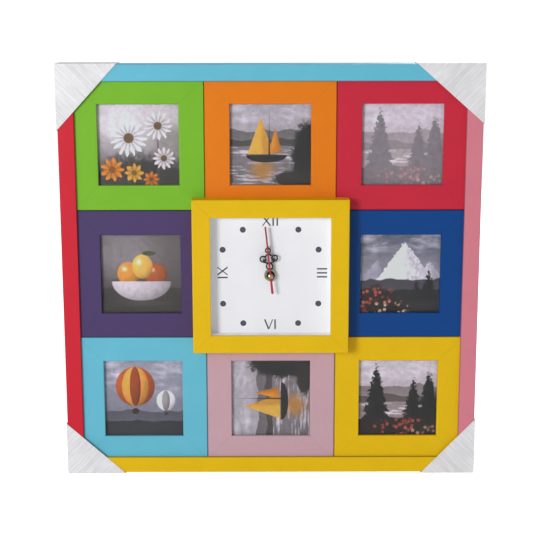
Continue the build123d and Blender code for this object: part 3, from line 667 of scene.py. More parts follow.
def cell_sleeve():
    """Plain two-tone sleeve of a battery, with bare steel at its ends."""
    made, tree = new_finish("cell_sleeve")
    low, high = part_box("battery")
    place = tree.place()
    x = tree.split(place)[0]
    along = tree.add("ShaderNodeMapRange", {"Value": x, "From Min": low.x, "From Max": high.x}).outputs["Result"]
    collar = tree.step(along, 0.735, 0.745)
    bare = tree.most(tree.step(along, 0.012, 0.018, 1.0, 0.0), tree.step(along, 0.955, 0.962))
    tone, speck = tree.use(mottle(), vector=place, scale=80.0, contrast=0.15)
    sleeve = tree.mix(collar, tint("23262C"), tint("B9772F"))
    tree.surface(
        base_color=tree.shade(tree.mix(bare, sleeve, tint("B9BABC")), tone),
        metallic=tree.linear(bare, 0.7, 0.3),
        roughness=tree.linear(speck, 0.1, 0.28),
    )
    return made


# Painting of the pictures. Places in a picture run from -1 to 1, left to right and foot to top.

@node_group("Mask", "Round", x=0.0, z=0.0, width=0.5, height=0.5, soft=0.1, ragged=0.0, lid=2.0)
def soft_blob(tree, given):
    """An ellipse with a soft or ragged edge, cut off level above its lid, and the shading of a ball."""
    x, _, z = tree.split(given["Vector"])
    wide = tree.math("DIVIDE", tree.minus(x, given["X"]), given["Width"])
    tall = tree.math("DIVIDE", tree.minus(z, given["Z"]), given["Height"])
    squares = tree.squares(wide, tall)
    leaves = tree.minus(tree.noise(given["Vector"], 6.0, 5.0, 0.7), 0.5)
    edge = tree.linear(leaves, given["Ragged"], tree.math("SQRT", squares))
    inner = tree.minus(1.0, given["Soft"])
    outer = tree.plus(1.0, given["Soft"])
    body = tree.step(edge, inner, outer, 1.0, 0.0)
    lid = tree.step(tree.minus(given["Lid"], z), -0.01, 0.01)
    lit = tree.linear(tree.minus(tall, wide), 0.3, 1.15)
    lit = tree.linear(squares, -0.32, lit)
    return {"Mask": tree.times(body, lid), "Round": tree.most(lit, 0.3)}


@node_group("Mask", "Haze", level=0.0, sway=0.3, scale=1.0, seed=0.0)
def hill_line(tree, given):
    """Everything below a wavering skyline, paler towards its foot as if in haze."""
    x, _, z = tree.split(given["Vector"])
    run = tree.linear(x, given["Scale"], given["Seed"])
    line = tree.add("ShaderNodeCombineXYZ", {"X": run}).outputs["Vector"]
    wave = tree.minus(tree.noise(line, 1.0, 6.0, 0.5), 0.5)
    skyline = tree.linear(wave, given["Sway"], given["Level"])
    depth = tree.minus(skyline, z)
    haze = tree.step(depth, 0.0, 0.6, 0.85, 1.35)
    return {"Mask": tree.step(depth, -0.012, 0.012), "Haze": haze}


@node_group("Mask", "Lit", x=0.0, foot=0.0, top=1.0, width=0.3, ragged=0.0)
def narrow_peak(tree, given):
    """An upright triangle with ragged sides, lit from the left: a sail, a mountain or one tier of a fir."""
    x, _, z = tree.split(given["Vector"])
    rise = tree.minus(given["Top"], given["Foot"])
    left = tree.math("DIVIDE", tree.minus(given["Top"], z), rise)
    half = tree.times(left, given["Width"])
    rough = tree.minus(tree.noise(given["Vector"], 14.0, 5.0, 0.65), 0.5)
    half = tree.linear(rough, given["Ragged"], half)
    across = tree.minus(x, given["X"])
    side = tree.minus(half, tree.size(across))
    above = tree.step(tree.minus(z, given["Foot"]), -0.01, 0.01)
    turn = tree.linear(rough, given["Ragged"], across)
    crag = tree.minus(tree.noise(tree.stretch(given["Vector"], (9.0, 1.0, 6.0)), 1.0, 6.0, 0.7), 0.5)
    crag = tree.times(crag, given["Ragged"])
    shaded = tree.linear(crag, 6.0, tree.step(turn, -0.06, 0.1, 1.1, 0.72))
    lit = tree.most(shaded, 0.2)
    return {"Mask": tree.times(tree.step(side, -0.012, 0.012), above), "Lit": lit}


@node_group("Petals", "Vein", "Heart", x=0.0, z=0.0, radius=0.3, petals=12.0)
def open_flower(tree, given):
    """Rounded petals, darker between and towards the heart."""
    x, _, z = tree.split(given["Vector"])
    wide = tree.minus(x, given["X"])
    tall = tree.minus(z, given["Z"])
    out = tree.math("SQRT", tree.squares(wide, tall))
    share = tree.math("DIVIDE", out, given["Radius"])
    turn = tree.times(tree.math("ARCTAN2", tall, wide), given["Petals"])
    bend = tree.minus(tree.noise(given["Vector"], 5.0, 2.0), 0.5)
    wave = tree.math("COSINE", tree.linear(bend, 5.0, turn))
    scallop = tree.linear(wave, 0.16, 0.84)
    vein = tree.linear(wave, 0.22, 0.78)
    vein = tree.times(vein, tree.step(share, 0.2, 0.75, 0.7, 1.0))
    petals = tree.step(tree.minus(scallop, share), -0.03, 0.03)
    return {"Petals": petals, "Vein": vein, "Heart": tree.step(share, 0.24, 0.31, 1.0, 0.0)}


# How much each channel of a print is lifted, and the most that its paper gives back
PRINT_CAST = (1.36, 1.2, 1.48)
PAPER_WHITE = (0.92, 0.91, 0.92)


@node_group("Color", color=(1, 1, 1))
def print_grain(tree, given):
    """Uneven tone, grain, darker corners and the faint colour cast of a hand-tinted photo print."""
    x, _, z = tree.split(given["Vector"])
    detail = tree.linear(tree.noise(given["Vector"], 7.0, 8.0, 0.62), 0.9, 0.55)
    grain = tree.linear(tree.noise(given["Vector"], 90.0, 2.0, 0.7), 0.34, 0.83)
    corner = tree.squares(x, z)
    dark = tree.step(corner, 0.5, 2.2, 1.0, 0.8)
    worn = tree.shade(given["Color"], detail, grain, dark)
    bright = tree.add("ShaderNodeVectorMath", {0: worn, 1: PRINT_CAST}, operation="MULTIPLY")
    inputs = {0: bright.outputs["Vector"], 1: PAPER_WHITE}
    return {"Color": tree.add("ShaderNodeVectorMath", inputs, operation="MINIMUM").outputs["Vector"]}


def layer(paint_over):
    """Turns a painting function into one that takes only its settings and returns what lays the layer."""
    def prepare(*places, **more):
        return lambda tree, spot, under: paint_over(tree, spot, under, *places, **more)
    return prepare


@layer
def sky(tree, spot, under, top, foot):
    return tree.mix(tree.step(tree.split(spot)[2], -0.8, 0.9), tint(foot), tint(top))


@layer
def clouds(tree, spot, under, code, level):
    """Long clouds that thin out down to a level."""
    drift = tree.noise(tree.stretch(spot, (1.1, 1.0, 3.2)), 1.0, 6.0, 0.6)
    above = tree.step(tree.split(spot)[2], level, level + 0.7)
    return tree.mix(tree.times(tree.step(drift, 0.42, 0.72), above), under, tint(code))


@layer
def blob(tree, spot, under, code, x, z, width, height, soft=0.06, ragged=0.0, lid=2.0, ball=False):
    mask, lit = tree.use(
        soft_blob(), vector=spot, x=x, z=z, width=width, height=height, soft=soft, ragged=ragged, lid=lid
    )
    return tree.mix(mask, under, tree.shade(tint(code), lit) if ball else tint(code))


@layer
def hills(tree, spot, under, code, level, sway, scale, seed):
    mask, haze = tree.use(hill_line(), vector=spot, level=level, sway=sway, scale=scale, seed=seed)
    return tree.mix(mask, under, tree.shade(tint(code), haze))


@layer
def peak(tree, spot, under, code, x, foot, top, width, ragged=0.0):
    mask, lit = tree.use(narrow_peak(), vector=spot, x=x, foot=foot, top=top, width=width, ragged=ragged)
    return tree.mix(mask, under, tree.shade(tint(code), lit))


@layer
def flower(tree, spot, under, code, heart, x, z, radius, petals):
    parts = tree.use(open_flower(), vector=spot, x=x, z=z, radius=radius, petals=float(petals))
    bloom = tree.mix(parts["Petals"], under, tree.shade(tint(code), parts["Vein"]))
    return tree.mix(parts["Heart"], bloom, tint(heart))


@layer
def water(tree, spot, under, code, level):
    """Short level glints below a level."""
    glint = tree.noise(tree.stretch(spot, (2.2, 1.0, 19.0)), 1.0, 4.0)
    below = tree.step(tree.split(spot)[2], level - 0.02, level, 1.0, 0.0)
    mask = tree.times(tree.step(glint, 0.5, 0.64), below)
    return tree.mix(mask, under, tint(code))


@layer
def bed(tree, spot, under, code, x, z, width, height):
    """A flower bed: small blooms of one colour, brighter and duller, on dark leaves."""
    mask = tree.use(
        soft_blob(), vector=spot, x=x, z=z, width=width, height=height, soft=0.15, ragged=2.0
    )["Mask"]
    cells = tree.add("ShaderNodeTexVoronoi", {"Vector": spot, "Scale": 9.0}).outputs
    bloom = tree.step(cells["Distance"], 0.3, 0.5, 1.0, 0.0)
    shade = tree.linear(tree.split(cells["Color"])[0], 0.9, 0.45)
    return tree.mix(mask, under, tree.mix(bloom, tint("1B1613"), tree.shade(tint(code), shade)))


@layer
def veil(tree, spot, under, code, share):
    """Mist over the whole picture."""
    return tree.mix(share, under, tint(code))


def fir(code, x, foot, height):
    """Five ragged tiers of one tree."""
    tiers = ((0.0, 0.42, 0.28), (0.18, 0.58, 0.24), (0.36, 0.74, 0.19), (0.54, 0.88, 0.14), (0.7, 1.0, 0.09))
    return [
        peak(code, x, foot + low * height, foot + high * height, wide * height, 0.42)
        for low, high, wide in tiers
    ]


def daisies():
    return [
        sky("CFCBC2", "77726A"),
        blob("E2DED5", -0.5, 0.6, 0.5, 0.42, soft=0.6),
        blob("8F8A80", 0.8, 0.05, 0.4, 0.4, soft=0.6),
        blob("2B2924", 0.1, -1.0, 1.4, 0.75, soft=0.3, ragged=1.1),
        peak("403D33", -0.24, -1.0, 0.2, 0.04),
        peak("403D33", 0.48, -1.0, 0.5, 0.04),
        flower("F8F5EE", "66502A", -0.24, 0.16, 0.46, 15),
        flower("E9E5DC", "5E4A28", 0.48, 0.46, 0.36, 13),
        flower("DDD8CE", "5E4A28", 0.62, -0.34, 0.28, 12),
        flower("E08A1E", "74420F", -0.66, -0.62, 0.3, 9),
        flower("D6A02C", "6E4A16", -0.12, -0.7, 0.24, 8),
        flower("CC7616", "6A3A0E", 0.3, -0.86, 0.2, 8),
    ]


def harbour():
    return [
        sky("A8A6A2", "8A8883"),
        clouds("DAD8D4", 0.1),
        hills("6E6B66", 0.34, 0.5, 1.3, 3.0),
        hills("4A4743", 0.12, 0.3, 2.2, 8.0),
        blob("75726E", 0.0, -0.75, 3.0, 0.72, soft=0.01),
        water("C9C6C0", -0.05),
        blob("A87C3C", -0.2, -0.62, 0.26, 0.24, soft=0.7),
        peak("E0A63C", -0.24, -0.24, 0.66, 0.33),
        peak("C98220", 0.12, -0.2, 0.42, 0.16),
        peak("1E1B19", -0.03, -0.3, 0.74, 0.022),
        blob("1E1B19", -0.1, -0.28, 0.5, 0.17, soft=0.04, lid=-0.26),
        blob("1C1A18", 0.95, -0.3, 0.42, 0.85, soft=0.12, ragged=0.9),
        blob("2A2521", 0.72, -0.86, 0.7, 0.22, soft=0.2, ragged=0.8),
    ]


def lake_firs():
    return [
        sky("C6C1BD", "9A9088"),
        clouds("EFEBE7", 0.0),
        hills("8A8079", 0.3, 0.6, 1.2, 5.0),
        hills("5E5650", 0.05, 0.4, 1.9, 2.0),
        blob("91867D", 0.0, -0.62, 3.0, 0.5, soft=0.01),
        water("D8D0C8", -0.14),
        *fir("141211", -0.55, -0.66, 1.5),
        *fir("141211", 0.4, -0.6, 1.1),
        *fir("141211", 0.8, -0.7, 1.4),
        hills("1E1613", -0.56, 0.2, 2.6, 9.0),
        bed("96402F", 0.1, -0.78, 0.75, 0.22),
        bed("B08A6A", 0.7, -0.92, 0.45, 0.16),
    ]


def misty_firs():
    return [*lake_firs(), veil("DAD3CE", 0.3)]


def fruit_bowl():
    return [
        sky("625D57", "3E3833"),
        blob("7E7973", -0.45, 0.55, 0.7, 0.6, soft=0.7),
        blob("2A2520", 0.0, -1.05, 2.6, 0.72, soft=0.02),
        blob("4A443B", 0.0, -0.2, 0.74, 0.13, soft=0.04),
        blob("D08A2C", -0.32, 0.0, 0.28, 0.3, ball=True),
        blob("F1D59A", -0.42, 0.12, 0.06, 0.06, soft=0.8),
        blob("9C4E1C", 0.36, -0.02, 0.29, 0.29, ball=True),
        blob("E0AE7C", 0.27, 0.1, 0.06, 0.05, soft=0.8),
        blob("E0AE48", 0.03, 0.18, 0.26, 0.31, ball=True),
        blob("F6E2B0", -0.06, 0.3, 0.06, 0.07, soft=0.8),
        blob("3F4A28", 0.2, 0.52, 0.17, 0.06, soft=0.1),
        blob("C6C1BB", 0.0, -0.2, 0.74, 0.5, soft=0.03, lid=-0.2, ball=True),
        blob("3A342D", 0.12, -0.76, 0.6, 0.07, soft=0.5),
    ]


def snow_peak():
    return [
        sky("5F656E", "B4B1AC"),
        clouds("CFCFCF", 0.15),
        peak("9B9BA0", -0.55, -0.5, 0.34, 0.8, ragged=0.22),
        peak("F8F6F2", 0.12, -0.5, 0.8, 0.95, ragged=0.3),
        peak("C4C3C2", 0.74, -0.5, 0.3, 0.6, ragged=0.2),
        hills("464548", -0.16, 0.4, 1.6, 4.0),
        hills("201F1F", -0.42, 0.3, 2.3, 7.0),
        *fir("121111", 0.72, -0.7, 0.8),
        *fir("171515", 0.42, -0.72, 0.55),
        bed("B4523E", -0.66, -0.78, 0.6, 0.4),
        bed("CDB48C", -0.3, -0.95, 0.5, 0.2),
    ]


def balloons():
    return [
        sky("929498", "76787C"),
        clouds("D6D7D8", -0.1),
        hills("56575A", -0.36, 0.4, 1.4, 2.0),
        hills("2E2F31", -0.62, 0.25, 2.0, 6.0),
        blob("A8501A", -0.22, 0.3, 0.5, 0.52, soft=0.02, ball=True),
        blob("E2983C", -0.22, 0.3, 0.34, 0.52, soft=0.02, ball=True),
        blob("8C3C12", -0.22, 0.3, 0.14, 0.52, soft=0.02, ball=True),
        blob("2E1C12", -0.22, -0.36, 0.09, 0.08, soft=0.05),
        blob("F2EFEA", 0.56, -0.08, 0.24, 0.27, soft=0.02, ball=True),
        blob("8F8B86", 0.56, -0.08, 0.1, 0.27, soft=0.02, ball=True),
        blob("2A2725", 0.56, -0.44, 0.05, 0.04, soft=0.05),
    ]


# The rose frame holds the orange frame's picture on its side
QUARTER_TURNED = ("rose",)
PICTURES = {
    "green": daisies,
    "orange": harbour,
    "crimson": misty_firs,
    "purple": fruit_bowl,
    "blue": snow_peak,
    "aqua": balloons,
    "rose": harbour,
    "yellow": lake_firs,
}


def photo_paper(colour_name, centre, half):
    """Satin photo paper with its picture, plain behind."""
    made, tree = new_finish("picture_" + colour_name)
    place = tree.place()
    turn = -math.pi / 2 if colour_name in QUARTER_TURNED else 0.0
    inputs = {
        "Vector": place, "Location": (centre.x, 0, centre.z), "Rotation": (0, turn, 0), "Scale": (half, half, half)
    }
    spot = tree.add("ShaderNodeMapping", inputs, vector_type="TEXTURE").outputs["Vector"]
    colour = None
    for lay in PICTURES[colour_name]():
        colour = lay(tree, spot, colour)
    picture = tree.use(print_grain(), vector=spot, color=colour)["Color"]
    tone = tree.use(mottle(), vector=place, scale=45.0, contrast=0.08)["Tone"]
    tree.surface(base_color=tree.mix(tree.rear(), picture, tree.shade(tint("ECE9E2"), tone)))
    sheen = tree.noise(place, 900.0, 2.0)
    tree.surface(
        roughness=tree.linear(sheen, 0.15, 0.38),
        normal=tree.bump(sheen, 0.02 * MM, 0.3),
    )
    return made


# Meshes

def new_piece(name, mesh, body, slot, *replaced):
    """Puts a finished mesh in the scene, on its CAD body and in place of CAD nodes."""
    piece = bpy.data.objects.new(name, mesh)
    bpy.context.scene.collection.objects.link(piece)
    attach(piece, body)
    if replaced:
        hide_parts(*replaced)


def to_mesh(name, shape, finish):
    mesh = bpy.data.meshes.new(name)
    shape.to_mesh(mesh)
    shape.free()
    mesh.materials.append(finish)
    mesh.shade_smooth()
    mesh.set_sharp_from_angle(angle=SMOOTH_ANGLE)
    return mesh


def lathe(profile, axis, centre):
    """A closed turned form: profile gives (distance along the axis, radius) from end to end."""
    shape = bmesh.new()
    side = Vector((0, 0, 1))
    points = [shape.verts.new(centre + axis * along + side * radius) for along, radius in profile]
    edges = [shape.edges.new(pair) for pair in zip(points, points[1:])]
    bmesh.ops.spin(
        shape, geom=points + edges, cent=centre, axis=axis, angle=math.tau, steps=LATHE_STEPS, use_merge=True
    )
    bmesh.ops.remove_doubles(shape, verts=shape.verts, dist=1e-7)
    bmesh.ops.recalc_face_normals(shape, faces=shape.faces)
    return shape


def print_sheet(centre, half, bow):
    """A square sheet of paper between the CAD print's two faces, a little hollow towards the pane."""
    shape = bmesh.new()
    bmesh.ops.create_grid(shape, x_segments=SHEET_STEPS, y_segments=SHEET_STEPS, size=half)
    raised = bmesh.ops.extrude_face_region(shape, geom=shape.faces[:])
    front = {v for v in raised["geom"] if isinstance(v, bmesh.types.BMVert)}
    for point in shape.verts:
        u, v = point.co.x / half, point.co.y / half
        y = PRINT_BOX[1].y
        if point in front:
            y = PRINT_BOX[0].y + bow * (1 - u * u) * (1 - v * v)
        point.co = (centre.x + u * half, y, centre.z + v * half)
    bmesh.ops.recalc_face_normals(shape, faces=shape.faces)
    return shape


def straight_bar(shape, start, end, width, front, back):
    """Adds a straight bar with level or upright ends, between two depths."""
    run = end - start
    steep = abs(run.z) >= abs(run.x)
    lean = width / 2 * run.length / max(abs(run.z), abs(run.x))
    offset = Vector((lean, 0, 0)) if steep else Vector((0, 0, lean))
    outline = [start - offset, start + offset, end + offset, end - offset]
    layers = [[shape.verts.new((p.x, y, p.z)) for p in outline] for y in (front, back)]
    shape.faces.new(layers[0])
    shape.faces.new(layers[1])
    for index in range(4):
        follow = (index + 1) % 4
        shape.faces.new((layers[0][index], layers[0][follow], layers[1][follow], layers[1][index]))


def mitre_strips(shape, centre, reaches, width, front, back):
    """Adds a strip along each of a frame's four mitres, between two reaches from its centre."""
    for across, down in CORNERS:
        ends = [centre + Vector((across, 0, down)) * reach for reach in reaches]
        straight_bar(shape, *ends, width, front, back)


def fill_mitres(node, finish, centre, inner, outer):
    """Strips of coloured filler in a frame's four mitres, just under its face."""
    shape = bmesh.new()
    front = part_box(node)[0].y + FILLER_SINK
    reaches = (inner + FILLER_EDGE, outer - FILLER_EDGE)
    mitre_strips(shape, centre, reaches, FILLER, front, front + FILLER_DEPTH)
    bmesh.ops.recalc_face_normals(shape, faces=shape.faces)
    return to_mesh("filler_" + node, shape, finish)


# Strokes of the numerals' letters: both ends as shares of the letter's height, and whether it is thick
LETTERS = {
    "I": (0.40, [((0, 0), (0, 1), True)]),
    "V": (0.86, [((-0.39, 1), (0, 0), True), ((0.39, 1), (0, 0), False)]),
    "X": (0.90, [((-0.38, 1), (0.38, 0), True), ((-0.38, 0), (0.38, 1), False)]),
}
NUMERALS = {"XII": 0, "III": 90, "VI": 180, "IX": 270}


def numeral_shape(sizes):
    """The four numerals; the side ones lie with their tops outwards, the lower one stands upright."""
    shape = bmesh.new()
    for text, degrees in NUMERALS.items():
        width = sum(LETTERS[letter][0] for letter in text)
        hub = Vector((AXIS.x, 0, AXIS.z + sizes.print_rise))
        reach = sizes.upright_reach
        turn = Matrix.Identity(3)
        if degrees % 180:
            hub.x += sizes.side_shift
            reach = sizes.side_reach
            turn = Matrix.Rotation(math.radians(degrees), 3, "Y")
        foot = -reach if degrees == 180 else reach - sizes.numeral_height
        at = -width / 2
        for letter in text:
            advance, strokes = LETTERS[letter]
            for start, end, thick in strokes:
                ends = []
                for x, z in (start, end):
                    along = (at + advance / 2 + x) * sizes.numeral_height
                    spot = Vector((along, 0, foot + z * sizes.numeral_height))
                    ends.append(turn @ spot + hub)
                stroke = sizes.thick_stroke if thick else sizes.thin_stroke
                straight_bar(shape, *ends, stroke, DIAL_FACE - sizes.ink, DIAL_FACE)
            at += advance
    bmesh.ops.recalc_face_normals(shape, faces=shape.faces)
    return shape


# Geometry nodes

def geometry_tree(name, inputs):
    """An empty geometry node tree with named inputs; returns its helper, inputs and output."""
    tree = bpy.data.node_groups.new(name, "GeometryNodeTree")
    tree.interface.new_socket("Geometry", in_out="INPUT", socket_type="NodeSocketGeometry")
    for label, kind in inputs.items():
        tree.interface.new_socket(label, in_out="INPUT", socket_type="NodeSocket" + kind)
    tree.interface.new_socket("Geometry", in_out="OUTPUT", socket_type="NodeSocketGeometry")
    entry = tree.nodes.new("NodeGroupInput").outputs
    leave = tree.nodes.new("NodeGroupOutput").inputs
    return Tree(tree), entry, leave["Geometry"]


def finish_instances(tree, instances, finish, leave):
    real = tree.add("GeometryNodeRealizeInstances", {"Geometry": instances})
    coloured = tree.add("GeometryNodeSetMaterial", {"Geometry": real.outputs["Geometry"], "Material": finish})
    tree.put(leave, coloured.outputs["Geometry"])


def dot_tree():
    """Round dots at the hours between the quarters of a circle that faces the front."""
    sizes = {"Circle": "Float", "Radius": "Float", "Ink": "Float", "Middle": "Vector", "Finish": "Material"}
    tree, entry, leave = geometry_tree("hour_dots", sizes)
    hours = tree.add("GeometryNodeMeshCircle", {"Vertices": 12, "Radius": entry["Circle"]})
    index = tree.add("GeometryNodeInputIndex").outputs["Index"]
    between = tree.math("GREATER_THAN", tree.math("MODULO", index, 3.0), 0.5)
    disc = tree.add("GeometryNodeMeshCylinder", {
        "Vertices": DOT_SIDES, "Radius": entry["Radius"], "Depth": entry["Ink"],
    })
    dots = tree.add("GeometryNodeInstanceOnPoints", {
        "Points": hours.outputs["Mesh"], "Selection": between, "Instance": disc.outputs["Mesh"],
    })
    upright = tree.add("GeometryNodeTransform", {
        "Geometry": dots.outputs["Instances"], "Translation": entry["Middle"], "Rotation": (math.pi / 2, 0, 0),
    })
    finish_instances(tree, upright.outputs["Geometry"], entry["Finish"], leave)
    return tree.tree


def screw_tree():
    """Slotted screw heads that stand on points and face the back."""
    sizes = {
        "Radius": "Float", "Foot": "Float", "Rise": "Float", "Slot Width": "Float", "Slot Depth": "Float",
        "Seed": "Int", "Finish": "Material",
    }
    tree, entry, leave = geometry_tree("slotted_screws", sizes)
    foot = tree.add("GeometryNodeMeshCircle", {"Vertices": SCREW_SIDES, "Radius": entry["Foot"]}, fill_type="NGON")
    under = tree.add("GeometryNodeFlipFaces", {"Mesh": foot.outputs["Mesh"]}).outputs["Mesh"]
    shape, top = foot.outputs["Mesh"], True
    flare = tree.math("DIVIDE", entry["Radius"], entry["Foot"])
    # Each step's share of the rise, and how much wider its top is than its foot
    for rise, scale in ((0.5, flare), (0.28, 0.9), (0.22, 0.72)):
        lift = tree.add("GeometryNodeExtrudeMesh", {
            "Mesh": shape, "Selection": top, "Offset Scale": tree.times(entry["Rise"], rise),
        })
        top = lift.outputs["Top"]
        shape = tree.add("GeometryNodeScaleElements", {
            "Geometry": lift.outputs["Mesh"], "Selection": top, "Scale": scale,
        }).outputs["Geometry"]
    both = tree.add("GeometryNodeJoinGeometry")
    tree.put(both.inputs[0], shape)
    tree.put(both.inputs[0], under)
    closed = tree.add("GeometryNodeMergeByDistance", {"Geometry": both.outputs[0], "Distance": 1e-6})
    size = tree.add("ShaderNodeCombineXYZ", {
        "X": tree.times(entry["Radius"], 3.0), "Y": entry["Slot Width"],
        "Z": tree.times(entry["Slot Depth"], 2.0),
    }).outputs["Vector"]
    bar = tree.add("GeometryNodeMeshCube", {"Size": size}).outputs["Mesh"]
    lift_bar = tree.add("ShaderNodeCombineXYZ", {"Z": entry["Rise"]}).outputs["Vector"]
    bar = tree.add("GeometryNodeTransform", {"Geometry": bar, "Translation": lift_bar}).outputs["Geometry"]
    cut = tree.add("GeometryNodeMeshBoolean", {"Mesh 1": closed.outputs["Geometry"], "Mesh 2": bar})
    placed = tree.add("GeometryNodeInstanceOnPoints", {
        "Points": entry["Geometry"], "Instance": cut.outputs["Mesh"], "Rotation": (-math.pi / 2, 0, 0),
    })
    angle = tree.add("FunctionNodeRandomValue", data_type="FLOAT")
    tree.put(angle.inputs[3], math.pi)
    tree.put(angle.inputs["Seed"], entry["Seed"])
    spin = tree.add("ShaderNodeCombineXYZ", {"Z": angle.outputs[1]}).outputs["Vector"]
    turned = tree.add("GeometryNodeRotateInstances", {
        "Instances": placed.outputs["Instances"], "Rotation": spin, "Local Space": True,
    })
    finish_instances(tree, turned.outputs["Instances"], entry["Finish"], leave)
    return tree.tree


def grow(name, tree, points, inputs):
    """Runs a geometry node tree on points and returns the plain mesh."""
    base = bpy.data.meshes.new(name)
    base.from_pydata(points, [], [])
    holder = bpy.data.objects.new(name + "_points", base)
    bpy.context.scene.collection.objects.link(holder)
    modifier = holder.modifiers.new("Nodes", "NODES")
    modifier.node_group = tree
    for item in tree.interface.items_tree:
        if item.item_type == "SOCKET" and item.in_out == "INPUT" and item.name in inputs:
            modifier[item.identifier] = inputs[item.name]
    bpy.context.view_layer.update()
    evaluated = holder.evaluated_get(bpy.context.evaluated_depsgraph_get())
    mesh = bpy.data.meshes.new_from_object(evaluated)
    bpy.data.objects.remove(holder)
    bpy.data.meshes.remove(base)
    if not mesh.polygons:
        raise RuntimeError(f"{name} came out empty")
    mesh.name = name
    return mesh


# Operators

class FoilFrames(bpy.types.Operator):
    """Colour the photo frames, the outer moulding and the clock frame"""

    bl_idname = "frame_clock.foil_frames"
    bl_label = "Foil Frames"

    def execute(self, context):
        colours = settings().foils
        for name in FRAME_COLOURS:
            node = "frame_" + name
            finish = foil(node, tuple(getattr(colours, name)), CENTRES[name], FRAME_HALF)
            dress(finish, node)
            mesh = fill_mitres(node, finish, CENTRES[name], settings().pictures.view, FRAME_HALF)
            new_piece("filler_" + name, mesh, "frame", "foil_" + name)
        for side, name in RAIL_COLOURS.items():
            node = "outer_rail_" + side
            dress(foil(node, tuple(getattr(colours, name)), AXIS, RAIL_INNER), node)
        finish = foil("clock_frame", tuple(colours.yellow), AXIS, CELL)
        dress(finish, "clock_frame")
        reaches = [abs(vertex.co.x - AXIS.x) for vertex in NODES["clock_frame"].data.vertices]
        mesh = fill_mitres("clock_frame", finish, AXIS, min(reaches), max(reaches))
        new_piece("filler_clock", mesh, "frame", "foil_yellow")
        shape = bmesh.new()
        joints = [(CENTRES[name], PRINT_HALF, FRAME_HALF, "frame_" + name) for name in FRAME_COLOURS]
        joints.append((AXIS, RAIL_INNER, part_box("outer_rail_top")[1].z - AXIS.z, "outer_rail_top"))
        for centre, inner, outer, node in joints:
            front, back = (box.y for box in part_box(node))
            reaches = (inner + GLUE_INSET, outer - GLUE_EDGE)
            mitre_strips(shape, centre, reaches, GLUE, front + GLUE_INSET, back - GLUE_EDGE)
        bmesh.ops.recalc_face_normals(shape, faces=shape.faces)
        glue = paint("glue_brown", "3E3026", rough=0.6)
        new_piece("mitre_glue", to_mesh("mitre_glue", shape, glue), "frame", "hardboard")
        return {"FINISHED"}


class Pictures(bpy.types.Operator):
    """Print the eight pictures and glaze them"""

    bl_idname = "frame_clock.pictures"
    bl_label = "Pictures"

    def execute(self, context):
        sizes = settings().pictures
        for name in FRAME_COLOURS:
            finish = photo_paper(name, CENTRES[name], sizes.view)
            mesh = to_mesh("print_" + name, print_sheet(CENTRES[name], PRINT_HALF, sizes.bow), finish)
            new_piece("print_" + name, mesh, "frame", "print_paper", "photo_prints")
        dress(clear_sheet(), "window_panes")
        return {"FINISHED"}


class Dial(bpy.types.Operator):
    """Print the dial and finish what lies round it"""

    bl_idname = "frame_clock.dial"
    bl_label = "Dial"

    def execute(self, context):
        sizes = settings().dial
        dress(paper("dial_paper", "F0F1F6", rough=0.55, streaks=0.02), "dial_card")
        dress(paper("liner_white", "F5F5F7", rough=0.5, streaks=0.03), "dial_liner")
        ink = paint("slate_ink", "484D5C", rough=0.6)
        new_piece("dial_numerals", to_mesh("dial_numerals", numeral_shape(sizes), ink), "frame", "dial_card")
        centre = Vector((AXIS.x, DIAL_FACE - sizes.ink / 2, AXIS.z - sizes.dot_drop))
        inputs = {
            "Circle": sizes.dot_circle, "Radius": sizes.dot_radius, "Ink": sizes.ink,
            "Middle": centre, "Finish": ink,
        }
        new_piece("dial_dots", grow("dial_dots", dot_tree(), [(0, 0, 0)], inputs), "frame", "dial_card")
        return {"FINISHED"}


class Hands(bpy.types.Operator):
    """Paint the hands and turn the brass cap"""

    bl_idname = "frame_clock.hands"
    bl_label = "Hands"

    def execute(self, context):
        dress(paint("black_enamel", "121214", rough=0.3), "hour_hand", "minute_hand")
        dress(paint("red_enamel", "B02235", rough=0.28), "second_hand")
        brass = turned_brass("turned_brass", "CBB483", "6E5A34")
        dress(brass, "minute_arbor")
        dress(turned_brass("dull_brass", "B8AE9B", "7E7566"), "fixing_nut")
        low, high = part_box("second_cap")
        radius = (high.x - low.x) / 2
        rise = high.y - low.y
        rim = 0.3 * rise
        profile = [(0, 0), (0, radius * 0.94), (rim * 0.3, radius), (rim, radius)]
        for index in range(1, DOME_STEPS + 1):
            angle = math.pi / 2 * index / DOME_STEPS
            profile.append((rim + (rise - rim) * math.sin(angle), radius * math.cos(angle)))
        foot = Vector((AXIS.x, high.y, AXIS.z))
        mesh = to_mesh("domed_cap", lathe(profile, Vector((0, -1, 0)), foot), brass)
        new_piece("domed_cap", mesh, "second", "brass", "second_cap")
        return {"FINISHED"}


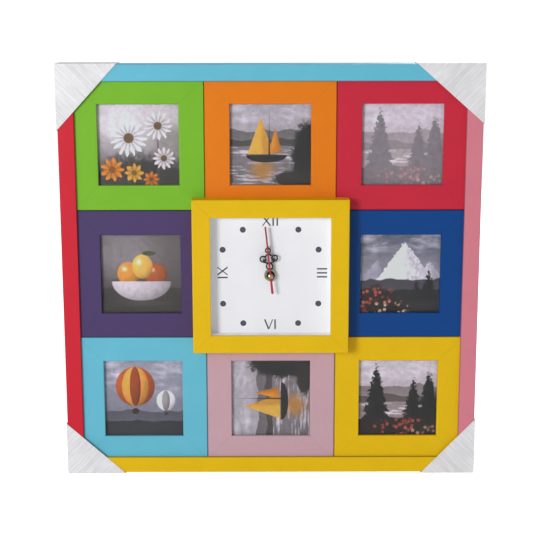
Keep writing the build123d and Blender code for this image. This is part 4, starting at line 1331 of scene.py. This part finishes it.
class Backs(bpy.types.Operator):
    """Finish the backing boards, turn buttons, hangers and screws"""

    bl_idname = "frame_clock.backs"
    bl_label = "Backs"

    def execute(self, context):
        sizes = settings().screws
        dress(hardboard(), "backing_boards", "dial_board")
        zinc = metal("zinc_plate", "B9BCC0", "A79F86", rough=0.3)
        dress(zinc, "hanger_plates", "battery_contacts", *("turn_button_" + name for name in FRAME_COLOURS))
        tree = screw_tree()
        slots = {"Slot Width": sizes.slot_width, "Slot Depth": sizes.slot_depth, "Seed": sizes.seed, "Finish": zinc}
        pan = {"Radius": sizes.head_radius, "Foot": sizes.head_radius * 0.97, "Rise": sizes.head_rise, **slots}
        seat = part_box("button_screws")[1].y - sizes.head_rise
        pivots = [j["pos_m"] for j in frame["joints"] if j["name"].startswith("button_turn")]
        mesh = grow("pivot_screws", tree, [(x, seat, z) for x, _, z in pivots], pan)
        new_piece("pivot_screws", mesh, "frame", "zinc_steel", "button_screws")
        reach = (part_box("clock_frame")[1].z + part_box("dial_board")[1].z) / 2 - AXIS.z
        half = sizes.clock_spread / 2
        spots = [(x, FRAME_BACK, AXIS.z + z) for x in (-half, half) for z in (-reach, reach)]
        new_piece("clock_screws", grow("clock_screws", tree, spots, pan), "frame", "zinc_steel")
        sunk = {"Radius": sizes.sunk_radius, "Foot": sizes.sunk_foot, "Rise": sizes.sunk_rise, **slots}
        hole_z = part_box("outer_rail_top")[1].z - sizes.hanger_drop
        plate = (HANGER_BOX[1].x - HANGER_BOX[0].x) / 2 - HANGER_HALF
        spots = []
        for side in (-plate, plate):
            for offset in (-sizes.hanger_spread / 2, sizes.hanger_spread / 2):
                spots.append((side + offset, HANGER_BOX[0].y, hole_z))
        new_piece("hanger_screws", grow("hanger_screws", tree, spots, sunk), "frame", "zinc_steel")
        return {"FINISHED"}


class Movement(bpy.types.Operator):
    """Finish the quartz movement and its battery"""

    bl_idname = "frame_clock.movement"
    bl_label = "Movement"

    def execute(self, context):
        dress(plastic("black_moulding", "17171A", rough=0.5, texture=1400.0), "movement_case", "movement_cover")
        dress(plastic("washer_rubber", "101010", rough=0.75, texture=900.0), "rubber_washer")
        nylon = plastic("white_nylon", "E6E4DC", rough=0.42, texture=1100.0)
        wheels = ("intermediate", "second", "third", "centre", "motion", "hour")
        dress(nylon, *(wheel + "_wheel" for wheel in wheels))
        dress(plastic("knob_grey", "C9C7C0", rough=0.45, texture=1100.0), "setting_wheel")
        dress(metal("soft_iron", "8D8F93", "6E675C", rough=0.42), "stator")
        dress(metal("ground_ferrite", "3B3B40", "2C2826", rough=0.5), "rotor")
        dress(metal("crystal_can", "C9CACC", "B4B0A4", rough=0.2), "quartz_crystal")
        dress(copper_winding(), "coil")
        dress(circuit_lacquer(), "circuit_board")
        low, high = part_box("battery")
        radius = (high.z - low.z) / 2
        length = high.x - low.x
        nub, nub_length, rim = 2.75 * MM, 1.2 * MM, 0.6 * MM
        can = length - nub_length
        bevel = rim * 0.3
        profile = [(0, 0), (0, radius * 0.72), (rim * 0.4, radius * 0.78), (0, radius - rim)]
        profile += [(bevel, radius - bevel), (rim, radius), (can - rim, radius), (can - bevel, radius - bevel)]
        profile += [(can, radius - rim), (can, nub * 1.5), (can, nub)]
        profile += [(length - bevel, nub), (length, nub - bevel), (length, 0)]
        foot = Vector((low.x, (low.y + high.y) / 2, (low.z + high.z) / 2))
        mesh = to_mesh("dry_cell", lathe(profile, Vector((1, 0, 0)), foot), cell_sleeve())
        new_piece("dry_cell", mesh, "battery", "battery_sleeve", "battery")
        return {"FINISHED"}


class CardCorners(bpy.types.Operator):
    """Finish the white card on the four corners"""

    bl_idname = "frame_clock.card_corners"
    bl_label = "Card Corners"

    def execute(self, context):
        dress(creased_card(), *("corner_" + end for end in ("top_left", "top_right", "bottom_left", "bottom_right")))
        return {"FINISHED"}


class Stage(bpy.types.Operator):
    """Set the floor, the light and the camera"""

    bl_idname = "frame_clock.stage"
    bl_label = "Stage"

    def execute(self, context):
        stage = settings().stage
        self.lay_floor(stage)
        self.light(stage)
        lens = bpy.data.cameras.new("camera")
        lens.lens = stage.lens
        lens.sensor_width = SENSOR_WIDTH
        lens.clip_end = FAR_CLIP
        camera = bpy.data.objects.new("camera", lens)
        pitch = Matrix.Rotation(math.pi / 2 - stage.camera_pitch, 4, "X")
        roll = Matrix.Rotation(stage.camera_roll, 4, "Z")
        camera.matrix_world = Matrix.Translation(stage.camera_place) @ pitch @ roll
        context.scene.collection.objects.link(camera)
        context.scene.camera = camera
        context.scene.view_settings.view_transform = "Standard"
        return {"FINISHED"}

    def lay_floor(self, stage):
        made, tree = new_finish("studio_floor")
        tone = tree.use(mottle(), vector=tree.place(), scale=1.5, contrast=0.01)["Tone"]
        tree.surface(
            base_color=tree.shade(tuple(stage.floor_colour), tone),
            roughness=0.7,
            emission_color=(1, 1, 1),
        )
        seen = tree.add("ShaderNodeLightPath").outputs["Is Camera Ray"]
        tree.surface(emission_strength=tree.times(seen, 0.75))
        shape = bmesh.new()
        bmesh.ops.create_grid(shape, x_segments=8, y_segments=8, size=FLOOR_HALF)
        mesh = to_mesh("floor", shape, made)
        mesh.transform(Matrix.Translation((0, 0, CAD_BOX[0].z - stage.floor_drop)))
        floor = bpy.data.objects.new("floor", mesh)
        bpy.context.scene.collection.objects.link(floor)

    def light(self, stage):
        world = bpy.data.worlds.new("studio")
        world.use_nodes = True
        tree = Tree(world.node_tree)
        back = world.node_tree.nodes["Background"]
        back.inputs["Color"].default_value = (1, 1, 1, 1)
        seen = tree.add("ShaderNodeLightPath").outputs["Is Camera Ray"]
        tree.put(back.inputs["Strength"], tree.step(seen, 0.0, 1.0, stage.sky, 1.0))
        bpy.context.scene.world = world
        # Name, place, side and power of each lamp
        lamps = (
            ("key", (-1.35, -2.1, 0.35), 0.7, stage.key_power),
            ("back", (0.9, 2.2, 0.9), 1.2, stage.back_power),
            ("top", (0.5, 0.9, 2.2), 1.2, stage.back_power * 0.6),
        )
        for name, place, size, power in lamps:
            lamp = bpy.data.lights.new(name, "AREA")
            lamp.shape = "SQUARE"
            lamp.size = size
            lamp.energy = power
            holder = bpy.data.objects.new(name, lamp)
            aim = Vector((0, 0, AXIS.z)) - Vector(place)
            holder.matrix_world = Matrix.Translation(place) @ aim.to_track_quat("-Z", "Y").to_matrix().to_4x4()
            bpy.context.scene.collection.objects.link(holder)


class FrameClockPanel(bpy.types.Panel):
    """Lists the clock's settings and steps"""

    bl_idname = "VIEW3D_PT_frame_clock"
    bl_label = "Photo Frame Clock"
    bl_space_type = "VIEW_3D"
    bl_region_type = "UI"
    bl_category = "Frame Clock"

    def draw(self, context):
        for group in ("foils", "dial", "pictures", "screws", "stage"):
            part = getattr(settings(), group)
            box = self.layout.box()
            for name in part.__annotations__:
                box.prop(part, name)
        for step in STEPS:
            self.layout.operator(step.bl_idname)


STEPS = (FoilFrames, Pictures, Dial, Hands, Backs, Movement, CardCorners, Stage)
GROUPS = (FoilColours, DialSizes, PictureSizes, ScrewSizes, StageSettings, ClockSettings)


def register():
    for item in (*GROUPS, *STEPS, FrameClockPanel):
        bpy.utils.register_class(item)
    bpy.types.Scene.frame_clock = PointerProperty(type=ClockSettings)


def unregister():
    del bpy.types.Scene.frame_clock
    for item in reversed((*GROUPS, *STEPS, FrameClockPanel)):
        bpy.utils.unregister_class(item)


def main():
    register()
    bpy.ops.frame_clock.foil_frames()
    bpy.ops.frame_clock.pictures()
    bpy.ops.frame_clock.dial()
    bpy.ops.frame_clock.hands()
    bpy.ops.frame_clock.backs()
    bpy.ops.frame_clock.movement()
    bpy.ops.frame_clock.card_corners()
    bpy.ops.frame_clock.stage()


if __name__ == "__main__":
    main()
